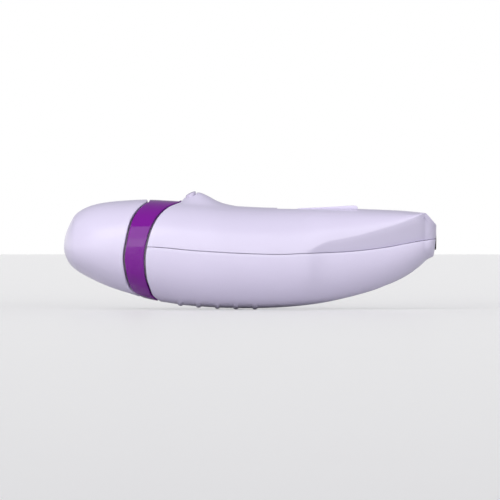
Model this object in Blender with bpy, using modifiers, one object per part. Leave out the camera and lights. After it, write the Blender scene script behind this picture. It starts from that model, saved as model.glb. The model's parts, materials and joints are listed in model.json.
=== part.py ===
"""Corded hand epilator: a detachable tweezing head with its cap, on a two-shell handle.

Frame: origin at the middle of the bounding box's base, +Z up towards the thumb switch,
the head points along -X and the tail along +X. Sizes below are in millimetres.
"""
import math

import bmesh
import bpy
from mathutils import Matrix, Vector

MM = 0.001

# Overall form
NOSE_X = -82.5
TAIL_X = 82.4
TAIL_CORNER_X = 77.4
TAIL_CORNER_R = 8.0
BELLY_END_Z = 23.6
CAP_WALL = 1.6
RING_WALL = 2.0
SHELL_WALL = 2.0
GAP = 0.3
EDGE_GAP = 0.9

# The upright band above the side seam: it grows into the faceted tail
HUMP_HALF_Y = 13.0
BAND_MIN = 0.8
BAND_TURN = 0.05
BAND_LEAN = 0.12

# Drive line: every gear axis lies at this height, in the plane of the spur gears
AXIS_Z = 29.0
MODULE = 0.7
PINION_TEETH = 10
CROWN_TEETH = 24
SPUR_TEETH = 12
DRIVE_TEETH = 38
DRUM_TEETH = 18
MESH_EASE = 0.15
SPUR_LOW_Y = -14.8
SPUR_HIGH_Y = -12.6
GEAR_AXLE_R = 1.25
DRUM_X = -64.8
DRIVE_X = DRUM_X + MODULE * (DRUM_TEETH + DRIVE_TEETH) / 2 + MESH_EASE
CROWN_X = DRIVE_X + MODULE * (DRIVE_TEETH + SPUR_TEETH) / 2 + MESH_EASE
CROWN_R = MODULE * CROWN_TEETH / 2
PINION_X = CROWN_X + CROWN_R

# Tweezer drum
DISC_COUNT = 12
DISC_R = 10.6
DISC_THICK = 0.5
DISC_PITCH = 1.95
DISC_FIRST_Y = -10.7
HUB_R = 4.5
HUB_HALF = 15.0
AXLE_R = 1.5
ARM_LOW_Y = 15.3
ARM_HIGH_Y = 16.5

# Head: the base plate closes the ring, and the shroud lies inside the cap, with a flat front
PLATE_X = (-50.6, -49.2)
SHROUD_X = -51.6
SHROUD_FRONT_X = -75.0
SHROUD_SHIFT = 3.4
SHROUD_INSET = 2.3
SHROUD_WALL = 1.1
WINDOW_HALF_Z = 11.5
WINDOW_HALF_Y = 12.2

# Frame inside the handle
COLLAR_X = -48.4
COLLAR_INSET = 2.7
COLLAR_WALL = 1.4
BULK_X = PINION_X + 3.4
BULK_THICK = 1.4
POST_Y = 12.0
POST_Z = (22.0, 36.0)
FOOT_Y = 12.5
FOOT_Z = 14.6
HUB_GEAR_R = 3.2
SCREW_X = 60.0
SPLIT_Z = 22.0
SCREW_SEAT_Z = 16.5

# Motor
MOTOR_FRONT_X = BULK_X + BULK_THICK + 0.4
MOTOR_LENGTH = 29.0
MOTOR_BACK_X = MOTOR_FRONT_X + MOTOR_LENGTH + 1.8
MOTOR_R = 12.0
SHAFT_R = 1.0

# Head release: the button's slanted top follows the hump's front face
BUTTON_X = -26.3
BUTTON_LONG = 10.0
BUTTON_WIDE = 4.6
BUTTON_LOW_Z = 46.5
HUMP_SLOPE = 0.455
HUMP_FOOT = (-28.6, 49.6)
HOOK_HALF_Y = 2.6
SHELF_X = -28.2
SPRING_LOW_Z = 42.75
SPRING_HIGH_Z = 44.85

# Thumb switch
SWITCH_TRAVEL = 8.0
KNOB_X = (20.3, 47.7)
KNOB_HALF_Y = 6.6
KNOB_FLOOR_Z = 43.9
STEM_X = 34.0
TRACK_X = (KNOB_X[0] - SWITCH_TRAVEL - GAP, KNOB_X[1] + GAP)

# Electrics
BOARD_LOW = (24.2, -13.0, 32.3)
BOARD_HIGH = (54.0, 13.0, 33.9)
SOCKET_Z = 30.6
SOCKET_LONG = 15.0
SOCKET_HIGH = 8.2
SOCKET_PIN_Y = 3.4
WIRE_R = 0.6

# Belly ribs: (degrees from the lowest line, height) along each rib
RIB_CENTRES = (-30.9, -22.8, -14.5, -6.2, 2.2)
RIB_SWEEP = ((-26, 0.05), (-14, 0.6), (-5, 0.69), (5, 0.69), (14, 0.6), (26, 0.05))


def remove_everything():
    for old in list(bpy.data.objects):
        bpy.data.objects.remove(old, do_unlink=True)


remove_everything()
parts = bpy.data.collections.new("epilator")
cutters = bpy.data.collections.new("cutters")
bpy.context.scene.collection.children.link(parts)
bpy.context.scene.collection.children.link(cutters)


def finish(name, colour, roughness, metallic=0.0):
    mat = bpy.data.materials.new(name)
    mat.use_nodes = True
    shader = mat.node_tree.nodes["Principled BSDF"]
    shader.inputs["Base Color"].default_value = (*colour, 1.0)
    shader.inputs["Roughness"].default_value = roughness
    shader.inputs["Metallic"].default_value = metallic
    mat.diffuse_color = (*colour, 1.0)
    return mat


LILAC = finish("pearl_lilac", (0.66, 0.62, 0.78), 0.35)
PURPLE = finish("gloss_purple", (0.18, 0.01, 0.26), 0.12)
WHITE = finish("frame_white", (0.80, 0.80, 0.82), 0.45)
DARK = finish("dark_plastic", (0.04, 0.04, 0.05), 0.40)
STEEL = finish("bright_steel", (0.62, 0.62, 0.64), 0.25, 1.0)
BRASS = finish("brass", (0.70, 0.50, 0.20), 0.30, 1.0)
COPPER = finish("copper", (0.72, 0.36, 0.20), 0.35, 1.0)
BOARD = finish("board_green", (0.03, 0.22, 0.10), 0.50)
ACETAL = finish("natural_acetal", (0.88, 0.87, 0.82), 0.40)
RED = finish("red_insulation", (0.55, 0.03, 0.03), 0.45)
BLACK = finish("black_insulation", (0.02, 0.02, 0.02), 0.45)


# ---------------------------------------------------------------- bodies

def pivot(name, place):
    empty = bpy.data.objects.new(name, None)
    empty.location = Vector(place) * MM
    parts.objects.link(empty)
    return empty


HOUSING = pivot("housing_origin", (0, 0, 0))
HEAD = pivot("head_slide_axis", (-50, 0, AXIS_Z))
CAP = pivot("cap_slide_axis", (-68, 0, AXIS_Z))
DRUM = pivot("drum_axis", (DRUM_X, 0, AXIS_Z))
DRIVE = pivot("drive_gear_axis", (DRIVE_X, 0, AXIS_Z))
CROWN = pivot("crown_gear_axis", (CROWN_X, 0, AXIS_Z))
ROTOR = pivot("motor_axis", (MOTOR_FRONT_X, 0, AXIS_Z))
BUTTON = pivot("button_axis", (BUTTON_X, 0, 48))
SWITCH = pivot("switch_slide_axis", (34, 0, 44))
bpy.context.view_layer.update()


# ---------------------------------------------------------------- helpers

def through(points):
    """A smooth curve through (x, value) points, level at its own local peaks."""
    xs = [p[0] for p in points]
    vs = [p[1] for p in points]
    rises = [(vs[i + 1] - vs[i]) / (xs[i + 1] - xs[i]) for i in range(len(xs) - 1)]
    slopes = [rises[0]]
    for a, b in zip(rises, rises[1:]):
        slopes.append(0.0 if a * b <= 0 else 2 * a * b / (a + b))
    slopes.append(rises[-1])

    def value(x):
        x = min(max(x, xs[0]), xs[-1])
        i = 0
        while i < len(xs) - 2 and x > xs[i + 1]:
            i += 1
        span = xs[i + 1] - xs[i]
        t = (x - xs[i]) / span
        bend = (1 + 2 * t) * (1 - t) ** 2 * vs[i] + t * (1 - t) ** 2 * span * slopes[i]
        return bend + t * t * (3 - 2 * t) * vs[i + 1] + t * t * (t - 1) * span * slopes[i + 1]

    return value


def add_node(name, mesh, mat, body):
    obj = bpy.data.objects.new(name, mesh)
    mesh.materials.clear()
    mesh.materials.append(mat)
    parts.objects.link(obj)
    obj.parent = body
    obj.matrix_parent_inverse = body.matrix_world.inverted()
    return obj


def outward(bm):
    bmesh.ops.recalc_face_normals(bm, faces=bm.faces)
    if bm.calc_volume(signed=True) < 0:
        bmesh.ops.reverse_faces(bm, faces=bm.faces)


def to_mesh(bm, name):
    mesh = bpy.data.meshes.new(name)
    bm.to_mesh(mesh)
    bm.free()
    return mesh


def box_mesh(name, low, high):
    bm = bmesh.new()
    size = [(b - a) * MM for a, b in zip(low, high)]
    middle = Vector([(a + b) / 2 * MM for a, b in zip(low, high)])
    place = Matrix.Translation(middle) @ Matrix.Diagonal((*size, 1))
    bmesh.ops.create_cube(bm, size=1.0, matrix=place)
    return to_mesh(bm, name)


AIM = {
    "X": Matrix.Rotation(math.pi / 2, 4, "Y"),
    "Y": Matrix.Rotation(-math.pi / 2, 4, "X"),
    "Z": Matrix.Identity(4),
}


def rod_mesh(name, axis, start, length, radius, segments=16):
    """A cylinder from its start point along +axis."""
    bm = bmesh.new()
    place = Matrix.Translation(Vector(start) * MM) @ AIM[axis]
    place = place @ Matrix.Translation((0, 0, length * MM / 2))
    bmesh.ops.create_cone(
        bm, cap_ends=True, segments=segments, radius1=radius * MM, radius2=radius * MM,
        depth=length * MM, matrix=place)
    return to_mesh(bm, name)


def turned_mesh(name, axis, start, profile, steps=24):
    """A closed (radius, distance) outline turned about the axis through the start point."""
    bm = bmesh.new()
    place = Matrix.Translation(Vector(start) * MM) @ AIM[axis]
    rings = []
    for radius, along in profile:
        ring = []
        for k in range(steps):
            turn = 2 * math.pi * k / steps
            spot = Vector((radius * math.cos(turn), radius * math.sin(turn), along)) * MM
            ring.append(bm.verts.new(place @ spot))
        rings.append(ring)
    for a, b in zip(rings, rings[1:] + rings[:1]):
        for k in range(steps):
            n = (k + 1) % steps
            bm.faces.new((a[k], a[n], b[n], b[k]))
    outward(bm)
    return to_mesh(bm, name)


def outline_mesh(name, loops, axis, start, thick):
    """Flat closed outlines, the first the outer one, extruded along +axis from the start."""
    curve = bpy.data.curves.new(name, "CURVE")
    curve.dimensions = "2D"
    curve.fill_mode = "BOTH"
    curve.extrude = thick * MM / 2
    for loop in loops:
        spline = curve.splines.new("POLY")
        spline.points.add(len(loop) - 1)
        for point, (u, v) in zip(spline.points, loop):
            point.co = (u * MM, v * MM, 0, 1)
        spline.use_cyclic_u = True
    guide = bpy.data.objects.new(name, curve)
    bpy.context.scene.collection.objects.link(guide)
    bpy.context.view_layer.update()
    shape = guide.evaluated_get(bpy.context.evaluated_depsgraph_get())
    mesh = bpy.data.meshes.new_from_object(shape)
    bpy.data.objects.remove(guide, do_unlink=True)
    bm = bmesh.new()
    bm.from_mesh(mesh)
    bmesh.ops.remove_doubles(bm, verts=bm.verts, dist=1e-6)
    lift = Matrix.Translation((0, 0, thick * MM / 2))
    bm.transform(Matrix.Translation(Vector(start) * MM) @ AIM[axis] @ lift)
    outward(bm)
    return to_mesh(bm, name)


def circle(radius, count, centre=(0, 0)):
    turns = [2 * math.pi * k / count for k in range(count)]
    return [(centre[0] + radius * math.cos(t), centre[1] + radius * math.sin(t)) for t in turns]


def stadium(long, wide, count=12):
    """A round-ended slot outline, its long side along the first axis."""
    r = wide / 2
    reach = long / 2 - r
    points = []
    for k in range(count):
        turn = -math.pi / 2 + math.pi * k / (count - 1)
        points.append((reach + r * math.cos(turn), r * math.sin(turn)))
    for k in range(count):
        turn = math.pi / 2 + math.pi * k / (count - 1)
        points.append((-reach + r * math.cos(turn), r * math.sin(turn)))
    return points


def loft_sheet(rows, closed_around, end_face=False):
    """An open sheet of quads over rows of points, with a flat face on its last row if asked."""
    bm = bmesh.new()
    grid = [[bm.verts.new(Vector(p) * MM) for p in row] for row in rows]
    count = len(rows[0])
    last = count if closed_around else count - 1
    for a, b in zip(grid, grid[1:]):
        for k in range(last):
            n = (k + 1) % count
            bm.faces.new((a[k], a[n], b[n], b[k]))
    if end_face:
        bm.faces.new(grid[-1])
    bmesh.ops.remove_doubles(bm, verts=bm.verts, dist=1e-6)
    bmesh.ops.recalc_face_normals(bm, faces=bm.faces)
    return bm


def shell_node(name, bm, centre, wall, mat, body):
    """A wall of the given thickness, grown inwards from an outer sheet."""
    middle = Vector(centre) * MM
    facing = sum((f.calc_center_median() - middle).dot(f.normal) * f.calc_area() for f in bm.faces)
    if facing < 0:
        bmesh.ops.reverse_faces(bm, faces=bm.faces)
    obj = add_node(name, to_mesh(bm, name), mat, body)
    skin = obj.modifiers.new("wall", "SOLIDIFY")
    skin.thickness = wall * MM
    skin.offset = -1
    skin.use_even_offset = True
    skin.use_quality_normals = True
    return obj


def tool(name, mesh):
    cutter = bpy.data.objects.new(name, mesh)
    cutter.hide_render = True
    cutter.display_type = "WIRE"
    cutters.objects.link(cutter)
    return cutter


def cut(obj, mesh):
    step = obj.modifiers.new("cut", "BOOLEAN")
    step.operation = "DIFFERENCE"
    step.solver = "EXACT"
    step.object = tool(f"{obj.name}_cut_{len(obj.modifiers)}", mesh)


def join(obj, mesh):
    step = obj.modifiers.new("join", "BOOLEAN")
    step.operation = "UNION"
    step.solver = "EXACT"
    step.object = tool(f"{obj.name}_join_{len(obj.modifiers)}", mesh)


# ---------------------------------------------------------------- outer form

def along(x):
    """Distance along the body, stretched near the nose so that its round end is smooth."""
    return math.sqrt(max(x - NOSE_X, 0.0))


def form(points):
    curve = through([(along(x), v) for x, v in points])
    return lambda x: curve(along(x))


top_line = form([
    (-82.5, 27.8), (-79.8, 38.0), (-77.6, 41.9), (-75.4, 43.7), (-71.0, 45.9), (-66.5, 47.1),
    (-57.7, 48.2), (-44.4, 48.8), (-35.5, 48.4), (-22.0, 47.5), (-4.4, 45.8), (13.3, 45.1),
    (39.9, 44.9), (57.7, 44.3), (66.5, 43.9), (77.4, 42.9)])
low_line = form([
    (-82.5, 27.8), (-79.8, 20.2), (-77.6, 18.0), (-71.0, 14.0), (-62.1, 10.0), (-53.2, 7.1),
    (-44.4, 4.5), (-35.5, 2.9), (-26.6, 1.7), (-10.6, 0.75), (0.0, 0.6), (9.8, 0.8),
    (20.4, 1.5), (31.0, 2.8), (41.7, 5.0), (52.3, 7.8), (59.4, 10.3), (66.5, 13.4), (71.0, 16.0),
    (75.4, 19.3), (79.0, 22.4), (82.4, BELLY_END_Z)])
side_line = form([
    (-82.5, 0.0), (-79.8, 14.0), (-77.6, 17.4), (-71.0, 21.4), (-66.5, 23.0), (-57.7, 25.1),
    (-44.4, 27.0), (-31.0, 27.8), (-18.0, 28.0), (0.0, 26.8), (20.0, 24.4), (40.0, 21.6),
    (60.0, 18.8), (74.4, 17.0), (82.4, 16.2)])
seam_line = form([
    (-82.5, 27.8), (-45.0, 27.8), (-22.2, 26.0), (0.0, 24.8), (13.3, 24.5), (24.0, 24.9),
    (39.9, 25.5), (50.6, 26.4), (61.2, 27.8), (71.8, 29.8), (82.4, 31.4)])
crease_line = form([
    (24.0, 24.9), (34.4, 30.0), (40.0, 31.0), (48.5, 32.9), (55.6, 34.9), (66.2, 38.1),
    (77.4, 42.9)])
hump_line = form([
    (-31.0, 0.0), (-28.6, 2.0), (-25.5, 3.6), (-22.7, 4.5), (-18.4, 3.2), (-15.1, 1.7),
    (-11.5, 0.7), (-6.0, 0.0)])
ring_front = through([
    (5.1, -47.5), (9.1, -52.3), (14.5, -54.1), (22.4, -55.0), (31.8, -53.7), (39.7, -51.7),
    (45.1, -48.3), (48.0, -44.6)])
ring_back = through([
    (3.8, -40.8), (6.5, -43.9), (9.1, -44.8), (14.5, -46.3), (22.4, -46.7), (31.8, -45.2),
    (39.7, -42.1), (45.1, -37.3), (48.2, -30.4)])


def half_width(x):
    """Half width in plan, with the tail's corners rounded."""
    width = side_line(x)
    start = TAIL_X - TAIL_CORNER_R
    if x <= start:
        return width
    in_corner = min(x - start, TAIL_CORNER_R)
    return width - TAIL_CORNER_R + math.sqrt(TAIL_CORNER_R ** 2 - in_corner ** 2)


def power(value, exponent):
    return math.copysign(abs(value) ** exponent, value)


def squareness(x):
    """Exponent of the section: an ellipse at the nose, a little squarer in the grip."""
    return 2.0 + 0.3 * min(max((x - NOSE_X) / 30.0, 0.0), 1.0)


def roof(x):
    """Height of the top line, with the tail's chamfer."""
    if x <= TAIL_CORNER_X:
        return top_line(x)
    return top_line(TAIL_CORNER_X) - 1.12 * (x - TAIL_CORNER_X)


def section_point(x, turn, inset=0.0):
    """Point of the outer surface at x; turn 0 is the +Y seam, 90 degrees the top."""
    seam = seam_line(x)
    wide = max(half_width(x) - inset, 0.0)
    exponent = 2.0 / squareness(x)
    y = wide * power(math.cos(turn), exponent)
    if turn < 0.0 or turn > math.pi + 1e-9:
        drop = max(seam - low_line(x) - inset, 0.0)
        return x, y, seam + drop * power(math.sin(turn), exponent)
    crease = max(min(crease_line(x), roof(x)), seam + BAND_MIN)
    from_seam = min(turn, math.pi - turn)
    if from_seam < BAND_TURN:
        share = from_seam / BAND_TURN
        lean = BAND_LEAN * (crease - seam) * (1.0 - share)
        return x, math.copysign(wide - lean, math.cos(turn)), seam + (crease - seam) * share
    turn = math.pi * (turn - BAND_TURN) / (math.pi - 2 * BAND_TURN)
    y = wide * power(math.cos(turn), exponent)
    rise = max(roof(x) - inset - crease, 0.0)
    bump = 0.0
    if inset == 0.0 and -31.0 < x < -6.0:
        bump = hump_line(x) * max(1.0 - (y / HUMP_HALF_Y) ** 2, 0.0) ** 2
    return x, y, crease + rise * power(max(math.sin(turn), 0.0), exponent) + bump


def cut_at(edge, turn, inset=0.0, guess=-45.0):
    """Where the surface line at this turn meets a curved edge x = edge(z)."""
    x = guess
    for _ in range(12):
        x = 0.5 * (x + edge(section_point(x, turn, inset)[2]))
    return x


def band(front, back, turns, rows, inset=0.0, ease=lambda u: u):
    """Rows of surface points between two edges, each edge a function of the turn."""
    grid = []
    for i in range(rows + 1):
        u = ease(i / rows)
        grid.append([section_point(front(t) + (back(t) - front(t)) * u, t, inset) for t in turns])
    return grid


def spread(start, stop, count):
    """Turns between two seams, closer together towards each seam."""
    shares = [k / (count - 1) for k in range(count)]
    eased = [0.3 * u + 0.7 * (1 - math.cos(math.pi * u)) / 2 for u in shares]
    return [start + (stop - start) * e for e in eased]


def top_turns(count):
    """Turns over the top from one seam to the other, with one at each end of the band."""
    return [0.0] + spread(BAND_TURN, math.pi - BAND_TURN, count) + [math.pi]


all_round = top_turns(12) + spread(math.pi, 2 * math.pi, 11)[1:-1]


def front_edge(turn):
    return cut_at(ring_front, turn)


def back_edge(turn):
    return cut_at(ring_back, turn)


# ---------------------------------------------------------------- cap and ring

def make_cap():
    rows = band(lambda t: NOSE_X, lambda t: front_edge(t) - EDGE_GAP, all_round, 10,
                ease=lambda u: u * u)
    bm = loft_sheet(rows, True)
    shell_node("head_cap", bm, (-60, 0, 28), CAP_WALL, LILAC, CAP)


def make_ring():
    rows = band(front_edge, back_edge, all_round, 3)
    bm = loft_sheet(rows, True)
    ring = shell_node("head_ring", bm, (-45, 0, 28), RING_WALL, PURPLE, HEAD)
    cut(ring, box_mesh("notch", (-40.5, -3.4, 44.0), (-26.0, 3.4, 47.5)))


# ---------------------------------------------------------------- shells

def front_rows(turns, first_full):
    """Rows from the ring's curved edge back to the first whole cross-section."""
    return band(lambda t: back_edge(t) + EDGE_GAP, lambda t: first_full, turns, 4)


def lift_seam(rows, amount):
    """Open half the seam gap by moving the seam edge up or down."""
    for row in rows:
        for k in (0, len(row) - 1):
            x, y, z = row[k]
            row[k] = (x, y, z + amount)
    return rows


def socket_slot(long, high, start_x, depth):
    """A round-ended bar along X, its long side across the body."""
    loop = [(v, u) for u, v in stadium(long, high)]
    return outline_mesh("socket_slot", [loop], "X", (start_x, 0, SOCKET_Z), depth)


def make_rib(centre):
    """A low rounded bar that follows the belly's curve and fades out at both ends."""
    bm = bmesh.new()
    loops = []
    for degrees, height in RIB_SWEEP:
        turn = math.radians(270.0 + degrees)
        loop = []
        across = ((-1.2, -1.2), (-1.2, 0.0), (-0.6, height), (0.6, height), (1.2, 0.0), (1.2, -1.2))
        for dx, lift in across:
            x, y, z = section_point(centre if lift > 0 else centre + dx, turn)
            loop.append(bm.verts.new(Vector((centre + dx, y, z - lift)) * MM))
        loops.append(loop)
    for a, b in zip(loops, loops[1:]):
        for k in range(len(a)):
            n = (k + 1) % len(a)
            bm.faces.new((a[k], a[n], b[n], b[k]))
    bm.faces.new(loops[0])
    bm.faces.new(loops[-1])
    outward(bm)
    return to_mesh(bm, "rib")


def make_top_shell():
    stations = [-27.0, -24.6, -22.4, -20.0, -17.0, -13.5, -10.0, -5.0, 3.0, 12.0, 24.0, 34.0,
                44.0, 54.0, 64.0, 72.0, 75.6, 77.4, 80.2, 81.8, TAIL_X]
    turns = top_turns(13)
    rows = front_rows(turns, -29.2) + [[section_point(x, t) for t in turns] for x in stations]
    bm = loft_sheet(lift_seam(rows, GAP / 2), False, end_face=True)
    shell = shell_node("top_shell", bm, (15, 0, 24), SHELL_WALL, LILAC, HOUSING)
    join(shell, rod_mesh("boss", "Z", (SCREW_X, 0, SPLIT_Z + GAP), 43.4 - SPLIT_Z - GAP, 3.0, 16))
    cut(shell, rod_mesh("pilot", "Z", (SCREW_X, 0, SPLIT_Z - 1), 12.0, 0.95, 12))
    track_low = (TRACK_X[0], -KNOB_HALF_Y - GAP, KNOB_FLOOR_Z)
    track_high = (TRACK_X[1], KNOB_HALF_Y + GAP, 48.0)
    cut(shell, block("track", track_low, track_high, 0.4))
    cut(shell, box_mesh("hook_room", (-30.8, -3.2, 43.0), (-22.6, 3.2, 46.5)))
    slot_low = (STEM_X - 3.0 - SWITCH_TRAVEL - GAP, -2.8, 40.0)
    cut(shell, box_mesh("slot", slot_low, (STEM_X + 3.0 + GAP, 2.8, 45.0)))
    cut(shell, button_prism("button_hole", GAP, 40.0, 56.0))
    cut(shell, socket_slot(SOCKET_LONG + 2 * GAP, SOCKET_HIGH + 2 * GAP, 70.0, 20.0))
    return shell


def make_bottom_shell():
    stations = [-22.0, -14.0, -5.0, 5.0, 15.0, 25.0, 35.0, 45.0, 54.0, 62.0, 69.0, 74.4, 77.4,
                80.2, 81.8, TAIL_X]
    turns = spread(math.pi + 1e-6, 2 * math.pi, 14)
    rows = front_rows(turns, -31.0) + [[section_point(x, t) for t in turns] for x in stations]
    bm = loft_sheet(lift_seam(rows, -GAP), False, end_face=True)
    shell = shell_node("bottom_shell", bm, (15, 0, 28), SHELL_WALL, LILAC, HOUSING)
    for centre in RIB_CENTRES:
        join(shell, make_rib(centre))
    join(shell, rod_mesh("boss", "Z", (SCREW_X, 0, 12.6), SPLIT_Z - 12.6, 3.8, 20))
    cut(shell, rod_mesh("counterbore", "Z", (SCREW_X, 0, 5.0), SCREW_SEAT_Z - 5.0, 2.7, 20))
    cut(shell, rod_mesh("clearance", "Z", (SCREW_X, 0, 10.0), 16.0, 1.5, 12))
    for side in (-1, 1):
        join(shell, rod_mesh("boss", "Z", (0, side * FOOT_Y, 4.4), FOOT_Z - GAP - 4.4, 2.8, 14))
        cut(shell, rod_mesh("pilot", "Z", (0, side * FOOT_Y, 6.0), 12.0, 0.95, 12))
    cut(shell, socket_slot(SOCKET_LONG + 2 * GAP, SOCKET_HIGH + 2 * GAP, 70.0, 20.0))
    return shell


# ---------------------------------------------------------------- frame inside the handle

def block(name, low, high, corner):
    """A box with its four upright corners rounded."""
    x0, y0, z0 = low
    x1, y1, z1 = high
    loop = []
    for cx, cy, first in ((x1 - corner, y1 - corner, 0), (x0 + corner, y1 - corner, 90),
                          (x0 + corner, y0 + corner, 180), (x1 - corner, y0 + corner, 270)):
        for step in (0, 30, 60, 90):
            turn = math.radians(first + step)
            loop.append((cx + corner * math.cos(turn), cy + corner * math.sin(turn)))
    return outline_mesh(name, [loop], "Z", (0, 0, z0), z1 - z0)


def button_prism(name, ease, low, high):
    loop = [(BUTTON_X + v, u) for u, v in stadium(BUTTON_LONG + 2 * ease, BUTTON_WIDE + 2 * ease)]
    return outline_mesh(name, [loop], "Z", (0, 0, low), high - low)


def make_collar():
    """The cup that closes the handle's mouth and that the head pushes onto."""
    turns = all_round
    sleeve = band(lambda t: COLLAR_X, lambda t: back_edge(t) + 5.0, turns, 3, inset=COLLAR_INSET)
    rows = list(reversed(sleeve))
    bm = loft_sheet(rows, True, end_face=True)
    collar = shell_node("neck_collar", bm, (-35, 0, 28), COLLAR_WALL, WHITE, HOUSING)
    slot_low = (-53, SPUR_LOW_Y - 0.6, AXIS_Z - 14.4)
    slot_high = (-31, SPUR_HIGH_Y + 0.6, AXIS_Z + 14.4)
    cut(collar, box_mesh("gear_slot", slot_low, slot_high))
    cut(collar, box_mesh("latch_slot", (-40.0, -3.4, 41.0), (-22.0, 3.4, 50.0)))
    for z in POST_Z:
        cut(collar, rod_mesh("hole", "X", (-54, POST_Y, z), 10.0, 1.3, 12))
    return collar


def make_chassis():
    """One comb-shaped moulding: a bulkhead for the motor with three gear plates forward of it."""
    back = BULK_X + BULK_THICK
    reach = back - 0.1
    plate = box_mesh("bulkhead", (BULK_X, -17.4, 18.5), (back, 14.5, 38.5))
    bulk = add_node("gear_chassis", plate, WHITE, HOUSING)
    join(bulk, box_mesh("tall", (BULK_X + 0.05, -6.0, FOOT_Z + 0.1), (back - 0.05, 6.0, 42.3)))
    join(bulk, box_mesh("plate_a", (-46.6, -17.35, 25.0), (reach, -15.9, 33.0)))
    join(bulk, box_mesh("plate_b", (-46.6, -10.8, 23.4), (reach, -9.4, 34.6)))
    join(bulk, box_mesh("plate_c", (CROWN_X - 3.2, 4.9, 25.6), (reach, 6.4, 32.4)))
    join(bulk, box_mesh("spring_shelf", (SHELF_X, -3.2, 41.2), (reach, 3.2, 42.4)))
    join(bulk, box_mesh("foot", (BULK_X + 0.1, -FOOT_Y - 3.0, FOOT_Z), (4.0, FOOT_Y + 3.0, FOOT_Z + 1.6)))
    post_start = COLLAR_X + COLLAR_WALL + GAP
    for z in POST_Z:
        join(bulk, box_mesh("post", (post_start, POST_Y - 2.4, z - 2.4), (reach, POST_Y + 2.4, z + 2.4)))
        cut(bulk, rod_mesh("pilot", "X", (COLLAR_X, POST_Y, z), 8.0, 0.85, 10))
    for side in (-1, 1):
        cut(bulk, rod_mesh("hole", "Z", (0, side * FOOT_Y, FOOT_Z - 2), 6.0, 1.2, 12))
    cut(bulk, rod_mesh("shaft_hole", "X", (BULK_X - 2, 0, AXIS_Z), 5.0, 3.2, 20))
    cut(bulk, rod_mesh("hub_hole", "Y", (CROWN_X, -12, AXIS_Z), 4.0, HUB_GEAR_R + 0.3, 20))
    cut(bulk, rod_mesh("crown_axle_hole", "Y", (CROWN_X, -20, AXIS_Z), 30.0, GEAR_AXLE_R + 0.05, 16))
    cut(bulk, rod_mesh("drive_axle_hole", "Y", (DRIVE_X, -20, AXIS_Z), 14.0, GEAR_AXLE_R + 0.05, 16))
    for dz in (-8.0, 8.0):
        cut(bulk, rod_mesh("screw_hole", "X", (BULK_X - 2, 0, AXIS_Z + dz), 5.0, 1.1, 12))


def screw_mesh(name, axis, seat, shank, shank_r, head_r, head, forward=True):
    """A pan-head screw whose head stands on its seat point and whose shank runs along +axis."""
    profile = [(head_r * 0.75, -head), (head_r, -head * 0.5), (head_r, 0.0), (shank_r, 0.0),
               (shank_r, shank)]
    bm = bmesh.new()
    rings = []
    steps = 8
    place = Matrix.Translation(Vector(seat) * MM) @ AIM[axis]
    if not forward:
        place = place @ Matrix.Rotation(math.pi, 4, "X")
    for radius, along_axis in profile:
        ring = []
        for k in range(steps):
            turn = 2 * math.pi * k / steps
            spot = Vector((radius * math.cos(turn), radius * math.sin(turn), along_axis)) * MM
            ring.append(bm.verts.new(place @ spot))
        rings.append(ring)
    for a, b in zip(rings, rings[1:]):
        for k in range(steps):
            n = (k + 1) % steps
            bm.faces.new((a[k], a[n], b[n], b[k]))
    bm.faces.new(rings[0])
    bm.faces.new(rings[-1])
    outward(bm)
    return to_mesh(bm, name)


def make_screws():
    for k, z in enumerate(POST_Z):
        mesh = screw_mesh("collar_screw", "X", (COLLAR_X - 0.05, POST_Y, z), 6.0, 0.75, 1.9, 1.2)
        add_node(f"collar_screw_{k + 1}", mesh, STEEL, HOUSING)
    for k, side in enumerate((-1, 1)):
        spot = (0, side * FOOT_Y, FOOT_Z + 1.65)
        mesh = screw_mesh("chassis_screw", "Z", spot, 7.0, 0.9, 2.2, 1.4, forward=False)
        add_node(f"chassis_screw_{k + 1}", mesh, STEEL, HOUSING)
    mesh = screw_mesh("shell_screw", "Z", (SCREW_X, 0, SCREW_SEAT_Z - 0.05), 16.0, 0.9, 2.4, 1.6)
    add_node("shell_screw", mesh, STEEL, HOUSING)
    for k, dz in enumerate((-8.0, 8.0)):
        mesh = screw_mesh("motor_screw", "X", (BULK_X - 0.05, 0, AXIS_Z + dz), 4.2, 0.8, 1.8, 1.1)
        add_node(f"motor_screw_{k + 1}", mesh, STEEL, HOUSING)


# ---------------------------------------------------------------- motor

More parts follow.
